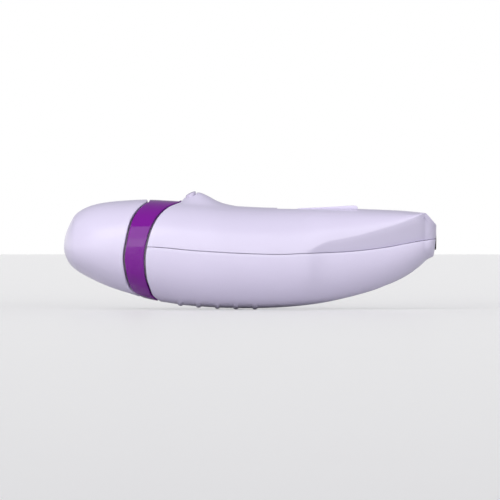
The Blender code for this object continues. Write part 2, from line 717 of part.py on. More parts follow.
def make_motor():
    back = MOTOR_LENGTH
    can = [(1.4, 0.0), (MOTOR_R, 0.0), (MOTOR_R, back), (MOTOR_R - 0.8, back),
           (MOTOR_R - 0.8, 0.9), (1.4, 0.9)]
    can_mesh = turned_mesh("motor_can", "X", (MOTOR_FRONT_X, 0, AXIS_Z), can, 22)
    obj = add_node("motor_can", can_mesh, STEEL, HOUSING)
    for dz in (-8.0, 8.0):
        cut(obj, rod_mesh("screw_hole", "X", (MOTOR_FRONT_X - 2, 0, AXIS_Z + dz), 5.0, 0.95, 10))
    start = (MOTOR_FRONT_X + back - 2.0, 0, AXIS_Z)
    lid = [(1.3, 0.0), (MOTOR_R - 1.1, 0.0), (MOTOR_R - 1.1, 2.3), (MOTOR_R, 2.3),
           (MOTOR_R, 3.8), (1.3, 3.8)]
    add_node("motor_end_cap", turned_mesh("motor_end_cap", "X", start, lid, 22), DARK, HOUSING)
    for k, middle in enumerate((math.pi / 2, -math.pi / 2)):
        sweep = [middle + math.radians(d) for d in (-55, -33, -11, 11, 33, 55)]
        outer = [((MOTOR_R - 1.1) * math.cos(t), (MOTOR_R - 1.1) * math.sin(t)) for t in sweep]
        inner = [(8.6 * math.cos(t), 8.6 * math.sin(t)) for t in reversed(sweep)]
        mesh = outline_mesh("magnet", [outer + inner], "X", (MOTOR_FRONT_X + 5.5, 0, AXIS_Z), 17.0)
        add_node(f"magnet_{k + 1}", mesh, DARK, HOUSING)
    shaft_start = PINION_X - 1.9
    shaft_length = MOTOR_FRONT_X + back + 2.0 - shaft_start
    mesh = rod_mesh("motor_shaft", "X", (shaft_start, 0, AXIS_Z), shaft_length, SHAFT_R, 14)
    add_node("motor_shaft", mesh, STEEL, ROTOR)
    spool = [(SHAFT_R + 0.05, 0.0), (7.9, 0.0), (7.9, 15.0), (3.4, 15.0), (3.4, 19.0),
             (SHAFT_R + 0.05, 19.0)]
    mesh = turned_mesh("armature", "X", (MOTOR_FRONT_X + 6.2, 0, AXIS_Z), spool, 20)
    add_node("armature", mesh, COPPER, ROTOR)


# ---------------------------------------------------------------- gears

def gear_outline(teeth, start_turn, thin=0.06):
    """Trapezoid teeth, a little thin for backlash; a tooth's centre lies at start_turn."""
    pitch_r = MODULE * teeth / 2
    tip_r = pitch_r + MODULE * 0.92
    root_r = pitch_r - MODULE * 1.25
    pitch = 2 * math.pi / teeth
    tip = pitch * 0.13 * (1 - thin)
    root = pitch * 0.30
    points = []
    for k in range(teeth):
        middle = start_turn + k * pitch
        for radius, turn in ((root_r, -root), (tip_r, -tip), (tip_r, tip), (root_r, root)):
            points.append((radius * math.cos(middle + turn), radius * math.sin(middle + turn)))
    return points


def spur_mesh(name, teeth, x, low_y, high_y, start_turn, bore_r):
    """A spur gear about Y. Its outline's first axis is +X and its second -Z before turning."""
    loops = [gear_outline(teeth, start_turn), circle(bore_r, 18)]
    return outline_mesh(name, loops, "Y", (x, low_y, AXIS_Z), high_y - low_y)


def crown_mesh():
    """The face wheel's toothed rim, its teeth standing towards the motor pinion."""
    bm = bmesh.new()
    pitch = 2 * math.pi / CROWN_TEETH
    tip_y = -(MODULE * PINION_TEETH / 2 - MODULE * 0.5)
    root_y = -(MODULE * PINION_TEETH / 2 + MODULE * 1.4)
    rings = []
    inner = CROWN_R - 0.9
    outer = CROWN_R + 0.9
    back = root_y - 1.9
    profile = [(inner, None), (outer, None), (outer, back), (inner, back)]
    for radius, height in profile:
        ring = []
        for k in range(CROWN_TEETH):
            middle = (k + 0.5) * pitch
            for share, tall in ((-0.22, root_y), (-0.08, tip_y), (0.08, tip_y), (0.22, root_y)):
                turn = middle + share * pitch
                y = tall if height is None else height
                spot = (CROWN_X + radius * math.cos(turn), y, AXIS_Z - radius * math.sin(turn))
                ring.append(bm.verts.new(Vector(spot) * MM))
        rings.append(ring)
    count = len(rings[0])
    for a, b in zip(rings, rings[1:] + rings[:1]):
        for k in range(count):
            n = (k + 1) % count
            bm.faces.new((a[k], a[n], b[n], b[k]))
    outward(bm)
    return to_mesh(bm, "crown_gear")


def make_gears():
    add_node("crown_gear", crown_mesh(), ACETAL, CROWN)
    back = -(MODULE * PINION_TEETH / 2 + MODULE * 1.4)
    web = [(GEAR_AXLE_R + 0.06, back - 0.3), (CROWN_R - 1.0, back - 0.3), (CROWN_R - 1.0, back - 1.7),
           (HUB_GEAR_R, back - 1.7), (HUB_GEAR_R, SPUR_HIGH_Y + 0.4),
           (GEAR_AXLE_R + 0.06, SPUR_HIGH_Y + 0.4)]
    mesh = turned_mesh("crown_hub", "Y", (CROWN_X, 0, AXIS_Z), web, 20)
    add_node("crown_hub", mesh, ACETAL, CROWN)
    mesh = spur_mesh("spur_pinion", SPUR_TEETH, CROWN_X, SPUR_LOW_Y, SPUR_HIGH_Y + 0.1, math.pi,
                     GEAR_AXLE_R + 0.06)
    add_node("spur_pinion", mesh, ACETAL, CROWN)
    turn = math.pi + math.pi / DRIVE_TEETH
    mesh = spur_mesh("drive_gear", DRIVE_TEETH, DRIVE_X, SPUR_LOW_Y, SPUR_HIGH_Y, turn, GEAR_AXLE_R + 0.06)
    add_node("drive_gear", mesh, ACETAL, DRIVE)
    mesh = spur_mesh("drum_gear", DRUM_TEETH, DRUM_X, SPUR_LOW_Y, SPUR_HIGH_Y, 0.0, HUB_R + 0.1)
    add_node("drum_gear", mesh, ACETAL, DRUM)
    loops = [gear_outline(PINION_TEETH, -math.pi / 2), circle(SHAFT_R + 0.06, 14)]
    mesh = outline_mesh("motor_pinion", loops, "X", (PINION_X - 1.7, 0, AXIS_Z), 3.4)
    add_node("motor_pinion", mesh, BRASS, ROTOR)
    mesh = rod_mesh("crown_axle", "Y", (CROWN_X, -17.3, AXIS_Z), 23.6, GEAR_AXLE_R, 16)
    add_node("crown_axle", mesh, STEEL, HOUSING)
    mesh = rod_mesh("drive_axle", "Y", (DRIVE_X, -17.3, AXIS_Z), 7.8, GEAR_AXLE_R, 16)
    add_node("drive_axle", mesh, STEEL, HOUSING)


# ---------------------------------------------------------------- head

def make_drum():
    start = (DRUM_X, 0, AXIS_Z)
    hub = [(AXLE_R + 0.1, -HUB_HALF), (HUB_R, -HUB_HALF), (HUB_R, HUB_HALF), (AXLE_R + 0.1, HUB_HALF)]
    add_node("disc_hub", turned_mesh("disc_hub", "Y", start, hub, 22), ACETAL, DRUM)
    edge = DISC_THICK / 2
    disc = [(HUB_R + 0.1, -edge), (DISC_R, -edge), (DISC_R, edge), (HUB_R + 0.1, edge)]
    for k in range(DISC_COUNT):
        name = f"tweezer_disc_{k + 1:02d}"
        place = (DRUM_X, DISC_FIRST_Y + k * DISC_PITCH, AXIS_Z)
        add_node(name, turned_mesh(name, "Y", place, disc, 20), STEEL, DRUM)
    mesh = rod_mesh("disc_axle", "Y", (DRUM_X, -ARM_HIGH_Y - 0.2, AXIS_Z), 2 * ARM_HIGH_Y + 0.4, AXLE_R, 22)
    add_node("disc_axle", mesh, STEEL, HEAD)
    for name, low in (("axle_bush_left", -ARM_HIGH_Y), ("axle_bush_right", ARM_LOW_Y)):
        wide = ARM_HIGH_Y - ARM_LOW_Y
        ring = [(AXLE_R + 0.06, low), (2.6, low), (2.6, low + wide), (AXLE_R + 0.06, low + wide)]
        add_node(name, turned_mesh(name, "Y", start, ring, 22), BRASS, HEAD)


def make_head_frame():
    """The white base plate inside the ring, with two arms that carry the drum's axle."""
    rows = [[section_point(x, t, 2.4) for t in all_round] for x in PLATE_X]
    bm = loft_sheet(rows, True, end_face=True)
    rim = [e for e in bm.edges if e.is_boundary]
    bmesh.ops.contextual_create(bm, geom=rim)
    outward(bm)
    frame = add_node("head_frame", to_mesh(bm, "head_frame"), WHITE, HEAD)
    for low in (-ARM_HIGH_Y, ARM_LOW_Y):
        high = low + ARM_HIGH_Y - ARM_LOW_Y
        arm_low = (DRUM_X - 3.4, low, AXIS_Z - 3.4)
        join(frame, box_mesh("arm", arm_low, (PLATE_X[1] - 0.1, high, AXIS_Z + 3.4)))
    cut(frame, rod_mesh("bush_hole", "Y", (DRUM_X, -22, AXIS_Z), 44.0, 2.7, 22))
    for z in POST_Z:
        cut(frame, rod_mesh("screw_room", "X", (PLATE_X[0] - 2, POST_Y, z), 6.0, 2.5, 12))
    slot_low = (-54, SPUR_LOW_Y - 0.6, AXIS_Z - 14.4)
    slot_high = (-48, SPUR_HIGH_Y + 0.6, AXIS_Z + 14.4)
    cut(frame, box_mesh("gear_slot", slot_low, slot_high))


def make_shroud():
    """The smooth cover round the drum, with a window for the discs in its flat front."""
    stop = SHROUD_X - SHROUD_SHIFT
    rows = band(lambda t: NOSE_X + 0.3, lambda t: stop, all_round, 8, SHROUD_INSET, ease=lambda u: u * u)
    rows = [[(max(x + SHROUD_SHIFT, SHROUD_FRONT_X), y, z) for x, y, z in row] for row in rows]
    rows = [row for row in rows if row[0][0] > SHROUD_FRONT_X + 0.2 or row is rows[0]]
    tip = [(SHROUD_FRONT_X, y * 0.97, 28 + (z - 28) * 0.97) for x, y, z in rows[1]]
    bm = loft_sheet(list(reversed([tip] + rows[1:])), True, end_face=True)
    shroud = shell_node("head_shroud", bm, (-55, 0, 28), SHROUD_WALL, WHITE, HEAD)
    low = (AXIS_Z - WINDOW_HALF_Z, -WINDOW_HALF_Y, 0.0)
    high = (AXIS_Z + WINDOW_HALF_Z, WINDOW_HALF_Y, 20.0)
    window = block("window", low, high, 2.0)
    window.transform(Matrix(((0, 0, 1, -82 * MM), (0, 1, 0, 0), (1, 0, 0, 0), (0, 0, 0, 1))))
    window.flip_normals()
    cut(shroud, window)


# ---------------------------------------------------------------- head release

def slope(x):
    return HUMP_FOOT[1] + (x - HUMP_FOOT[0]) * HUMP_SLOPE


def make_release():
    """A domed button on the hump's slanted face, over a stepped latch arm and its spring."""
    rows = []
    for scale, lift in ((1.0, None), (1.0, 0.3), (0.85, 0.95), (0.5, 1.3)):
        row = []
        for v, u in [(v, u) for u, v in stadium(BUTTON_LONG, BUTTON_WIDE, 8)]:
            x = BUTTON_X + v * scale
            z = BUTTON_LOW_Z if lift is None else slope(x) + lift
            row.append((x, u * (1 - (1 - scale) * 0.55), z))
        rows.append(row)
    bm = loft_sheet(rows, True, end_face=True)
    bmesh.ops.contextual_create(bm, geom=[e for e in bm.edges if e.is_boundary])
    outward(bm)
    add_node("release_button", to_mesh(bm, "release_button"), LILAC, BUTTON)

    y = HOOK_HALF_Y
    side = [(-39.6, -43.7), (-39.6, -46.2), (-38.6, -47.1), (-37.2, -47.1), (-37.2, -44.9), (-29.4, -44.9),
            (-29.4, -46.2), (-23.2, -46.2), (-23.2, -45.1), (-28.4, -45.1), (-28.4, -43.7)]
    mesh = outline_mesh("latch_hook", [side], "Y", (0, -y, 0), 2 * y)
    add_node("latch_hook", mesh, DARK, BUTTON)

    turns = 3.0
    count = 25
    curve = bpy.data.curves.new("latch_spring", "CURVE")
    curve.dimensions = "3D"
    curve.bevel_depth = 0.22 * MM
    curve.bevel_resolution = 1
    curve.use_fill_caps = True
    spline = curve.splines.new("POLY")
    spline.points.add(count - 1)
    for k, point in enumerate(spline.points):
        share = k / (count - 1)
        turn = 2 * math.pi * turns * share
        height = SPRING_LOW_Z + (SPRING_HIGH_Z - SPRING_LOW_Z) * share
        spot = Vector((BUTTON_X + 1.6 * math.cos(turn), 1.6 * math.sin(turn), height)) * MM
        point.co = (*spot, 1)
    wire_node("latch_spring", curve, STEEL, HOUSING)


def wire_node(name, curve, mat, body):
    curve.materials.append(mat)
    obj = bpy.data.objects.new(name, curve)
    parts.objects.link(obj)
    obj.parent = body
    obj.matrix_parent_inverse = body.matrix_world.inverted()


# ---------------------------------------------------------------- switch and electrics

def make_switch():
    x0, x1 = KNOB_X
    profile = [(x0, -44.2), (x0 + 0.2, -44.75), (x0 + 6.0, -45.1), (x1 - 1.6, -46.1), (x1 - 0.4, -46.0),
               (x1, -45.4), (x1, -44.2)]
    mesh = outline_mesh("switch_knob", [profile], "Y", (0, -KNOB_HALF_Y, 0), 2 * KNOB_HALF_Y)
    knob = add_node("switch_knob", mesh, LILAC, SWITCH)
    join(knob, box_mesh("stem", (STEM_X - 3.0, -2.5, 42.5), (STEM_X + 3.0, 2.5, 44.7)))
    tray = box_mesh("carriage", (STEM_X - 7.0, -3.6, 41.3), (STEM_X + 7.0, 3.6, 42.2))
    carriage = add_node("switch_carriage", tray,
                        DARK, SWITCH)
    join(carriage, box_mesh("lever", (STEM_X - 1.0, -1.0, 37.2), (STEM_X + 1.0, 1.0, 41.5)))
    brick = box_mesh("switch_body", (24.6, -4.0, 34.2), (39.0, 4.0, 38.4))
    body = add_node("switch_body", brick, DARK, HOUSING)
    slot_low = STEM_X - 1.5 - SWITCH_TRAVEL
    cut(body, box_mesh("slot", (slot_low, -1.4, 35.6), (STEM_X + 1.5, 1.4, 40.0)))


def make_electrics():
    add_node("circuit_board", box_mesh("circuit_board", BOARD_LOW, BOARD_HIGH), BOARD, HOUSING)
    mesh = rod_mesh("capacitor", "Z", (46.5, -4.5, BOARD_HIGH[2] + GAP), 6.4, 2.8, 14)
    add_node("capacitor", mesh, DARK, HOUSING)
    brick = socket_slot(SOCKET_LONG, SOCKET_HIGH, 72.4, TAIL_X - 72.4)
    body = add_node("socket_body", brick, DARK, HOUSING)
    cut(body, socket_slot(SOCKET_LONG - 3.0, SOCKET_HIGH - 3.0, 74.6, 12.0))
    for k, side in enumerate((-1, 1)):
        y = side * SOCKET_PIN_Y
        cut(body, rod_mesh("pin_hole", "X", (71.0, y, SOCKET_Z), 6.0, 0.85, 12))
        mesh = rod_mesh("socket_pin", "X", (71.4, y, SOCKET_Z), 9.0, 0.75, 12)
        add_node(f"socket_pin_{k + 1}", mesh, BRASS, HOUSING)


def wire(name, route, mat):
    curve = bpy.data.curves.new(name, "CURVE")
    curve.dimensions = "3D"
    curve.bevel_depth = WIRE_R * MM
    curve.bevel_resolution = 1
    curve.use_fill_caps = True
    xs = through([(k, p[0]) for k, p in enumerate(route)])
    ys = through([(k, p[1]) for k, p in enumerate(route)])
    zs = through([(k, p[2]) for k, p in enumerate(route)])
    count = 2 * (len(route) - 1) + 1
    spline = curve.splines.new("POLY")
    spline.points.add(count - 1)
    for k, point in enumerate(spline.points):
        share = (len(route) - 1) * k / (count - 1)
        point.co = (xs(share) * MM, ys(share) * MM, zs(share) * MM, 1)
    wire_node(name, curve, mat, HOUSING)


def make_wires():
    for side, mat, colour in ((-1, BLACK, "black"), (1, RED, "red")):
        y = 7.0 * side
        x = MOTOR_BACK_X + 0.4
        route = [(x, y, 30.0), (x + 2.6, y, 30.8), (x + 5.0, y, 34.0), (x + 7.4, y, 35.9),
                 (x + 9.4, y, 35.4),
                 (x + 10.2, y, 34.7)]
        wire(f"motor_wire_{colour}", route, mat)
        y = SOCKET_PIN_Y * side
        route = [(71.0, y, SOCKET_Z), (67.5, 1.4 * y, 31.0), (62.0, 2.0 * y, 32.2), (57.0, 2.0 * y, 34.4),
                 (53.2, 1.6 * y, 35.4), (51.0, 1.4 * y, 34.8)]
        wire(f"socket_wire_{colour}", route, mat)


make_top_shell()
make_bottom_shell()
make_cap()
make_ring()
make_collar()
make_chassis()
make_screws()
make_motor()
make_gears()
make_drum()
make_head_frame()
make_shroud()
make_release()
make_switch()
make_electrics()
make_wires()
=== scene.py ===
"""Looks of a corded epilator: pearl shells, a glossy ring, the tweezer head and the works inside.

Sizes are in millimetres and colours are linear. X runs from the nose to the tail, Z is up.
"""

import json
import math

import bpy
from mathutils import Matrix, Vector

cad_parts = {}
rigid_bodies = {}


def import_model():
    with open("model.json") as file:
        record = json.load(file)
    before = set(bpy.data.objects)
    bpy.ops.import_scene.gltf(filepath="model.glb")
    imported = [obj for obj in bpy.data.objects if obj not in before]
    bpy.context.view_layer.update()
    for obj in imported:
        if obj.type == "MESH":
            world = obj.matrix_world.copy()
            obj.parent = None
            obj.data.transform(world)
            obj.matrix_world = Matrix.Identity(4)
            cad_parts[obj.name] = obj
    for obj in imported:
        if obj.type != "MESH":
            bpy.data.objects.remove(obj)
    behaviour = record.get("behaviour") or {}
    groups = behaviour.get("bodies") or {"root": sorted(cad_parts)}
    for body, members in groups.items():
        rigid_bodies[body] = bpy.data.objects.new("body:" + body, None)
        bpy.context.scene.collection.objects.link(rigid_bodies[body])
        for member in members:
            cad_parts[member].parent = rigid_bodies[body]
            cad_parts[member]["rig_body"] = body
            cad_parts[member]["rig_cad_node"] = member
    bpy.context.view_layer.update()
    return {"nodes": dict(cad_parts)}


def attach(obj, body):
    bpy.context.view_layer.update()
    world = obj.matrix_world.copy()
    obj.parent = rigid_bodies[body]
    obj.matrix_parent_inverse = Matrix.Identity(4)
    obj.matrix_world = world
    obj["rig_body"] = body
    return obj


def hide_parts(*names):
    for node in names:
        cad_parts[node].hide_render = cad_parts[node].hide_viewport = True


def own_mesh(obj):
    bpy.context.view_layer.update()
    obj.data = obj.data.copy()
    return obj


bl_info = {
    "name": "Epilator Looks",
    "version": (1, 0, 0),
    "blender": (4, 5, 0),
    "location": "3D View > Sidebar > Epilator",
    "description": "Shells, ring, head, controls and finishes of an epilator around its working frame",
    "category": "Object",
}

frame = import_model()

MM = 0.001

# ---------------------------------------------------------------- driving sizes, in millimetres

NOSE_X = -82.5
TAIL_X = 82.4
TAIL_CORNER_X = 77.4
TAIL_CORNER_R = 8.0
CHAMFER_SLOPE = 1.12
CHAMFER_ROUND = 0.9
WALL_LEAN = 1.1
WALL_REACH = 4.0
EDGE_GAP = 0.9
GAP = 0.3
RIM_DEGREES = (0, 22, 45, 67, 90)
UPPER_FULL_X = -25.6
HUMP_END_X = -6.0
GRIP_END_X = 24.0
TAIL_START_X = 74.0
MOUTH_SHARES = (0.0, 0.15, 0.29, 0.43, 0.57, 0.71, 0.85, 1.0)
END_WALL_SCALES = (0.96, 0.85, 0.65, 0.4, 0.0)
UPPER_SEAM_LIFT = 0.045
LOWER_SEAM_DROP = 0.18
JUST_BELOW_SEAM = -0.001

# The tongue's section, as (inward from the shell's side, up from the seam), and the middle of its foot
TONGUE_X = (-27.5, 73.0)
TONGUE_OUTLINE = ((1.3, -2.0), (1.3, -0.9), (2.3, -0.9), (2.3, 1.2), (3.0, 1.2), (3.0, -2.0), (1.3, -2.0))
TONGUE_MIDDLE = (1.35, 0.55)

HUMP_HALF_Y = 13.0
HUMP_X = (-31.0, -6.0)
BAND_MIN = 0.8
BAND_GROWTH = 30.0
BAND_TURN = 0.05
BAND_LEAN = 0.5
LOWER_FOLLOW = 0.85
AXIS_Z = 29.0

RIB_CENTRES = (-30.9, -22.8, -14.5, -6.2, 2.2)
RIB_HALF_X = 1.2
RIB_HEIGHT = 0.6
RIB_SWEEP = 26.0
RIB_STEPS = (-1.2, -1.12, -1.0, -0.8, -0.5, 0.0, 0.5, 0.8, 1.0, 1.12, 1.2)
RIB_LEAD = 1.9
RIB_SPACING = 1.6

BUTTON_X = -26.3
BUTTON_LONG = 10.0
BUTTON_WIDE = 4.6
BUTTON_LOW_Z = 46.5
HUMP_SLOPE = 0.455
HUMP_FOOT = (-28.6, 49.6)
HOOK_ROOM = ((-30.8, -3.2, 43.0), (-22.6, 3.2, 46.5))
RING_NOTCH = ((-40.5, -3.4, 44.0), (-26.0, 3.4, 47.5))

# Sections of the button's dome, as (scale in plan, share of the rise)
BUTTON_DOME = (
    (1.0, 0.28), (0.985, 0.4), (0.95, 0.52), (0.88, 0.66), (0.76, 0.79), (0.6, 0.89), (0.42, 0.95),
    (0.22, 0.99), (0.0, 1.0))

KNOB_X = (20.3, 47.7)
KNOB_HALF_Y = 6.6
KNOB_FLOOR_Z = 43.9
KNOB_LOW_Z = 44.2
TRACK_TOP_Z = 48.0
SWITCH_TRAVEL = 8.0
STEM_X = 34.0
STEM_HALF_X = 3.0

SOCKET_Z = 30.6
SOCKET_LONG = 15.0
SOCKET_HIGH = 8.2
SOCKET_START_X = 72.4
SOCKET_RECESS_X = 74.6
SOCKET_PIN_Y = 3.4
PIN_X = 71.4
PIN_HOLE_R = 0.85
PIN_OUTLINE = ((0.0, 0.0), (0.75, 0.0), (0.75, 8.4), (0.68, 8.75), (0.45, 8.95), (0.0, 9.0))

SCREW_X = 60.0
SPLIT_Z = 22.0
SCREW_SEAT_Z = 16.5
SCREW_WELL_R = 2.7
PILOT_R = 0.95
UPPER_BOSS_R = 3.0
UPPER_BOSS_TOP_Z = 43.4
LOWER_BOSS_R = 3.8
LOWER_BOSS_LOW_Z = 12.6
FOOT_Y = 12.5
FOOT_Z = 14.6
FOOT_LOW_Z = 4.4
FOOT_R = 2.8

SHROUD_X = -51.6
SHROUD_FRONT_X = -75.0
SHROUD_SHIFT = 3.4
SHROUD_INSET = 2.3
WINDOW_HALF_Z = 11.5
WINDOW_HALF_Y = 12.2
WINDOW_CORNER = 2.0

# Rows over the shroud's blunt front, as (scale about the middle, distance behind the front)
SHROUD_MIDDLE_Z = 28
SHROUD_NOSE = (
    (0.996, 0.75), (0.985, 0.3), (0.965, 0.06), (0.94, 0.0), (0.8, 0.0), (0.5, 0.0), (0.2, 0.0), (0.0, 0.0))

DRUM_X = -64.8
HUB_R = 4.5
HUB_HALF = 15.0
AXLE_R = 1.5
DISC_R = 10.6
DISC_THICK = 0.5
DISC_COUNT = 12
DISC_PITCH = 1.95
DISC_FIRST_Y = -10.7
ARM_HIGH_Y = 16.5

CAMERA_DISTANCE = 2400.0
CAMERA_Z = 26.4
VIEW_WIDTH = 221.75
SENSOR_MM = 36.0

# Stage, in metres, with radiances that are linear: 1 is white
FLOOR_SIZE = 60.0
KEY_STRENGTH = 2.15
KEY_SPREAD = 40.0
KEY_COLOUR = (1.0, 0.97, 0.985)
KEY_FROM = (-0.35, -0.72, 0.62)
HORIZON = (1.0, 1.0, 1.0)
MID_SKY = (0.31, 0.31, 0.34)
ZENITH = (0.28, 0.285, 0.32)
SOFTBOX_WATTS = 90.0
SOFTBOX_SIZE = (6.0, 3.6)
SOFTBOX_PLACE = (-0.3, -3.2, 1.75)


class EpilatorSizes(bpy.types.PropertyGroup):
    """Wall thicknesses and edge roundings that a maker would change."""
    cap_wall: bpy.props.FloatProperty(
        name="Cap wall", description="Thickness of the travel cap, mm", default=1.6, min=0.8, max=2.5)
    ring_wall: bpy.props.FloatProperty(
        name="Ring wall", description="Thickness of the coloured ring, mm", default=2.0, min=1.0, max=2.4)
    shell_wall: bpy.props.FloatProperty(
        name="Shell wall", description="Thickness of the two housing shells, mm",
        default=2.0, min=1.0, max=2.4)
    shroud_wall: bpy.props.FloatProperty(
        name="Shroud wall", description="Thickness of the head's shroud, mm", default=1.1, min=0.6, max=1.5)
    rim_round: bpy.props.FloatProperty(
        name="Rim rounding", description="Radius of the cap, ring and mouth rims, mm",
        default=0.45, min=0.0, max=0.7)
    seam_round: bpy.props.FloatProperty(
        name="Seam rounding", description="Radius of the shells' parting edges, mm",
        default=0.16, min=0.0, max=0.4)
    button_rise: bpy.props.FloatProperty(
        name="Button rise", description="Height of the release button's dome, mm",
        default=1.3, min=0.5, max=1.5)


class EpilatorColours(bpy.types.PropertyGroup):
    """Main colours, linear."""
    pearl: bpy.props.FloatVectorProperty(
        name="Pearl lilac", description="Colour of the shells and the cap", subtype="COLOR", size=3,
        default=(0.745, 0.700, 0.880), min=0.0, max=1.0)
    purple: bpy.props.FloatVectorProperty(
        name="Ring purple", description="Colour of the glossy ring", subtype="COLOR", size=3,
        default=(0.205, 0.004, 0.300), min=0.0, max=1.0)
    white: bpy.props.FloatVectorProperty(
        name="Frame white", description="Colour of the head frame, shroud and chassis", subtype="COLOR",
        size=3, default=(0.78, 0.77, 0.80), min=0.0, max=1.0)
    backdrop: bpy.props.FloatVectorProperty(
        name="Floor", description="Colour of the studio floor", subtype="COLOR", size=3,
        default=(0.70, 0.70, 0.705), min=0.0, max=1.0)


def sizes():
    return bpy.context.scene.epilator_sizes


def colours():
    return bpy.context.scene.epilator_colours


# ---------------------------------------------------------------- outer form

def through(points):
    """A smooth curve through (x, value) points, level at its own local peaks."""
    xs = [p[0] for p in points]
    vs = [p[1] for p in points]
    rises = [(vs[i + 1] - vs[i]) / (xs[i + 1] - xs[i]) for i in range(len(xs) - 1)]
    slopes = [rises[0]]
    for a, b in zip(rises, rises[1:]):
        slopes.append(0.0 if a * b <= 0 else 2 * a * b / (a + b))
    slopes.append(rises[-1])

    def value(x):
        x = min(max(x, xs[0]), xs[-1])
        i = 0
        while i < len(xs) - 2 and x > xs[i + 1]:
            i += 1
        span = xs[i + 1] - xs[i]
        t = (x - xs[i]) / span
        bend = (1 + 2 * t) * (1 - t) ** 2 * vs[i] + t * (1 - t) ** 2 * span * slopes[i]
        return bend + t * t * (3 - 2 * t) * vs[i + 1] + t * t * (t - 1) * span * slopes[i + 1]

    return value


def along(x):
    """Distance along the body, stretched near the nose so that its round end is smooth."""
    return math.sqrt(max(x - NOSE_X, 0.0))


def form(points):
    curve = through([(along(x), v) for x, v in points])
    return lambda x: curve(along(x))


top_line = form([
    (-82.5, 27.8), (-79.8, 38.0), (-77.6, 41.9), (-75.4, 43.7), (-71.0, 45.9), (-66.5, 47.1),
    (-57.7, 48.2), (-44.4, 48.8), (-35.5, 48.4), (-22.0, 47.5), (-4.4, 45.8), (13.3, 45.1),
    (39.9, 44.9), (57.7, 44.3), (66.5, 43.9), (77.4, 42.9)])
low_line = form([
    (-82.5, 27.8), (-79.8, 20.2), (-77.6, 18.0), (-71.0, 14.0), (-62.1, 10.0), (-53.2, 7.1),
    (-44.4, 4.5), (-35.5, 2.9), (-26.6, 1.7), (-10.6, 0.75), (0.0, 0.6), (9.8, 0.8),
    (20.4, 1.5), (31.0, 2.8), (41.7, 5.0), (52.3, 7.8), (59.4, 10.3), (66.5, 13.4), (71.0, 16.0),
    (75.4, 19.3), (79.0, 22.4), (82.4, 23.6)])
side_line = form([
    (-82.5, 0.0), (-79.8, 14.0), (-77.6, 17.4), (-71.0, 21.4), (-66.5, 23.0), (-57.7, 25.1),
    (-44.4, 27.0), (-31.0, 27.8), (-18.0, 28.0), (0.0, 26.8), (20.0, 24.4), (40.0, 21.6),
    (60.0, 18.8), (74.4, 17.0), (82.4, 16.2)])
seam_line = form([
    (-82.5, 27.8), (-45.0, 27.8), (-22.2, 26.0), (0.0, 24.8), (13.3, 24.5), (24.0, 24.9),
    (39.9, 25.5), (50.6, 26.4), (61.2, 27.8), (71.8, 29.8), (82.4, 31.4)])
crease_line = form([
    (24.0, 24.9), (34.4, 30.0), (40.0, 31.0), (48.5, 32.9), (55.6, 34.9), (66.2, 38.1),
    (77.4, 42.9)])
hump_line = form([
    (-31.0, 0.0), (-28.6, 2.0), (-25.5, 3.6), (-22.7, 4.5), (-18.4, 3.2), (-15.1, 1.7),
    (-11.5, 0.7), (-6.0, 0.0)])
ring_front = through([
    (5.1, -47.5), (9.1, -52.3), (14.5, -54.1), (22.4, -55.0), (31.8, -53.7), (39.7, -51.7),
    (45.1, -48.3), (48.0, -44.6)])
ring_back = through([
    (3.8, -40.8), (6.5, -43.9), (9.1, -44.8), (14.5, -46.3), (22.4, -46.7), (31.8, -45.2),
    (39.7, -42.1), (45.1, -37.3), (48.2, -30.4)])


def half_width(x):
    """Half width in plan, with the tail's corners rounded."""
    width = side_line(x)
    in_corner = min(max(x - TAIL_X + TAIL_CORNER_R, 0.0), TAIL_CORNER_R)
    return width - TAIL_CORNER_R + math.sqrt(TAIL_CORNER_R ** 2 - in_corner ** 2)


def power(value, exponent):
    return math.copysign(abs(value) ** exponent, value)


def squareness(x):
    """Exponent of the section: an ellipse at the nose, a little squarer in the grip."""
    return 2.0 + 0.3 * min(max((x - NOSE_X) / 30.0, 0.0), 1.0)


def roof(x):
    """Height of the top line, with the tail's chamfer and its rounded corner."""
    past = x - TAIL_CORNER_X
    if past <= -CHAMFER_ROUND:
        return top_line(x)
    if past < CHAMFER_ROUND:
        fall = CHAMFER_SLOPE * (past + CHAMFER_ROUND) ** 2 / (4 * CHAMFER_ROUND)
    else:
        fall = CHAMFER_SLOPE * past
    return top_line(min(x, TAIL_CORNER_X)) - fall


def crease_at(x):
    least = seam_line(x) + BAND_MIN * min((x - NOSE_X) / BAND_GROWTH, 1.0)
    return max(min(crease_line(x), roof(x)), least)


def band_lean(x):
    """How far the surface is drawn in at the seam, under the tail's crease."""
    return BAND_LEAN * max(crease_at(x) - seam_line(x) - BAND_MIN, 0.0)


def section_point(x, turn, inset=0.0):
    """Point of the outer surface at x; turn 0 is the +Y seam, 90 degrees the top."""
    seam = seam_line(x)
    wide = max(half_width(x) - inset, 0.0)
    exponent = 2.0 / squareness(x)
    if turn < 0.0 or turn > math.pi + 1e-9:
        drop = max(seam - low_line(x) - inset, 0.0)
        wide -= LOWER_FOLLOW * band_lean(x)
        return x, wide * power(math.cos(turn), exponent), seam + drop * power(math.sin(turn), exponent)
    crease = crease_at(x)
    from_seam = min(turn, math.pi - turn)
    if from_seam < BAND_TURN:
        share = from_seam / BAND_TURN
        lean = band_lean(x) * (1.0 - share)
        return x, math.copysign(wide - lean, math.cos(turn)), seam + (crease - seam) * share
    turn = math.pi * (turn - BAND_TURN) / (math.pi - 2 * BAND_TURN)
    y = wide * power(math.cos(turn), exponent)
    rise = max(roof(x) - inset - crease, 0.0)
    bump = 0.0
    if inset == 0.0 and HUMP_X[0] < x < HUMP_X[1]:
        bump = hump_line(x) * max(1.0 - (y / HUMP_HALF_Y) ** 2, 0.0) ** 2
    return x, y, crease + rise * power(max(math.sin(turn), 0.0), exponent) + bump


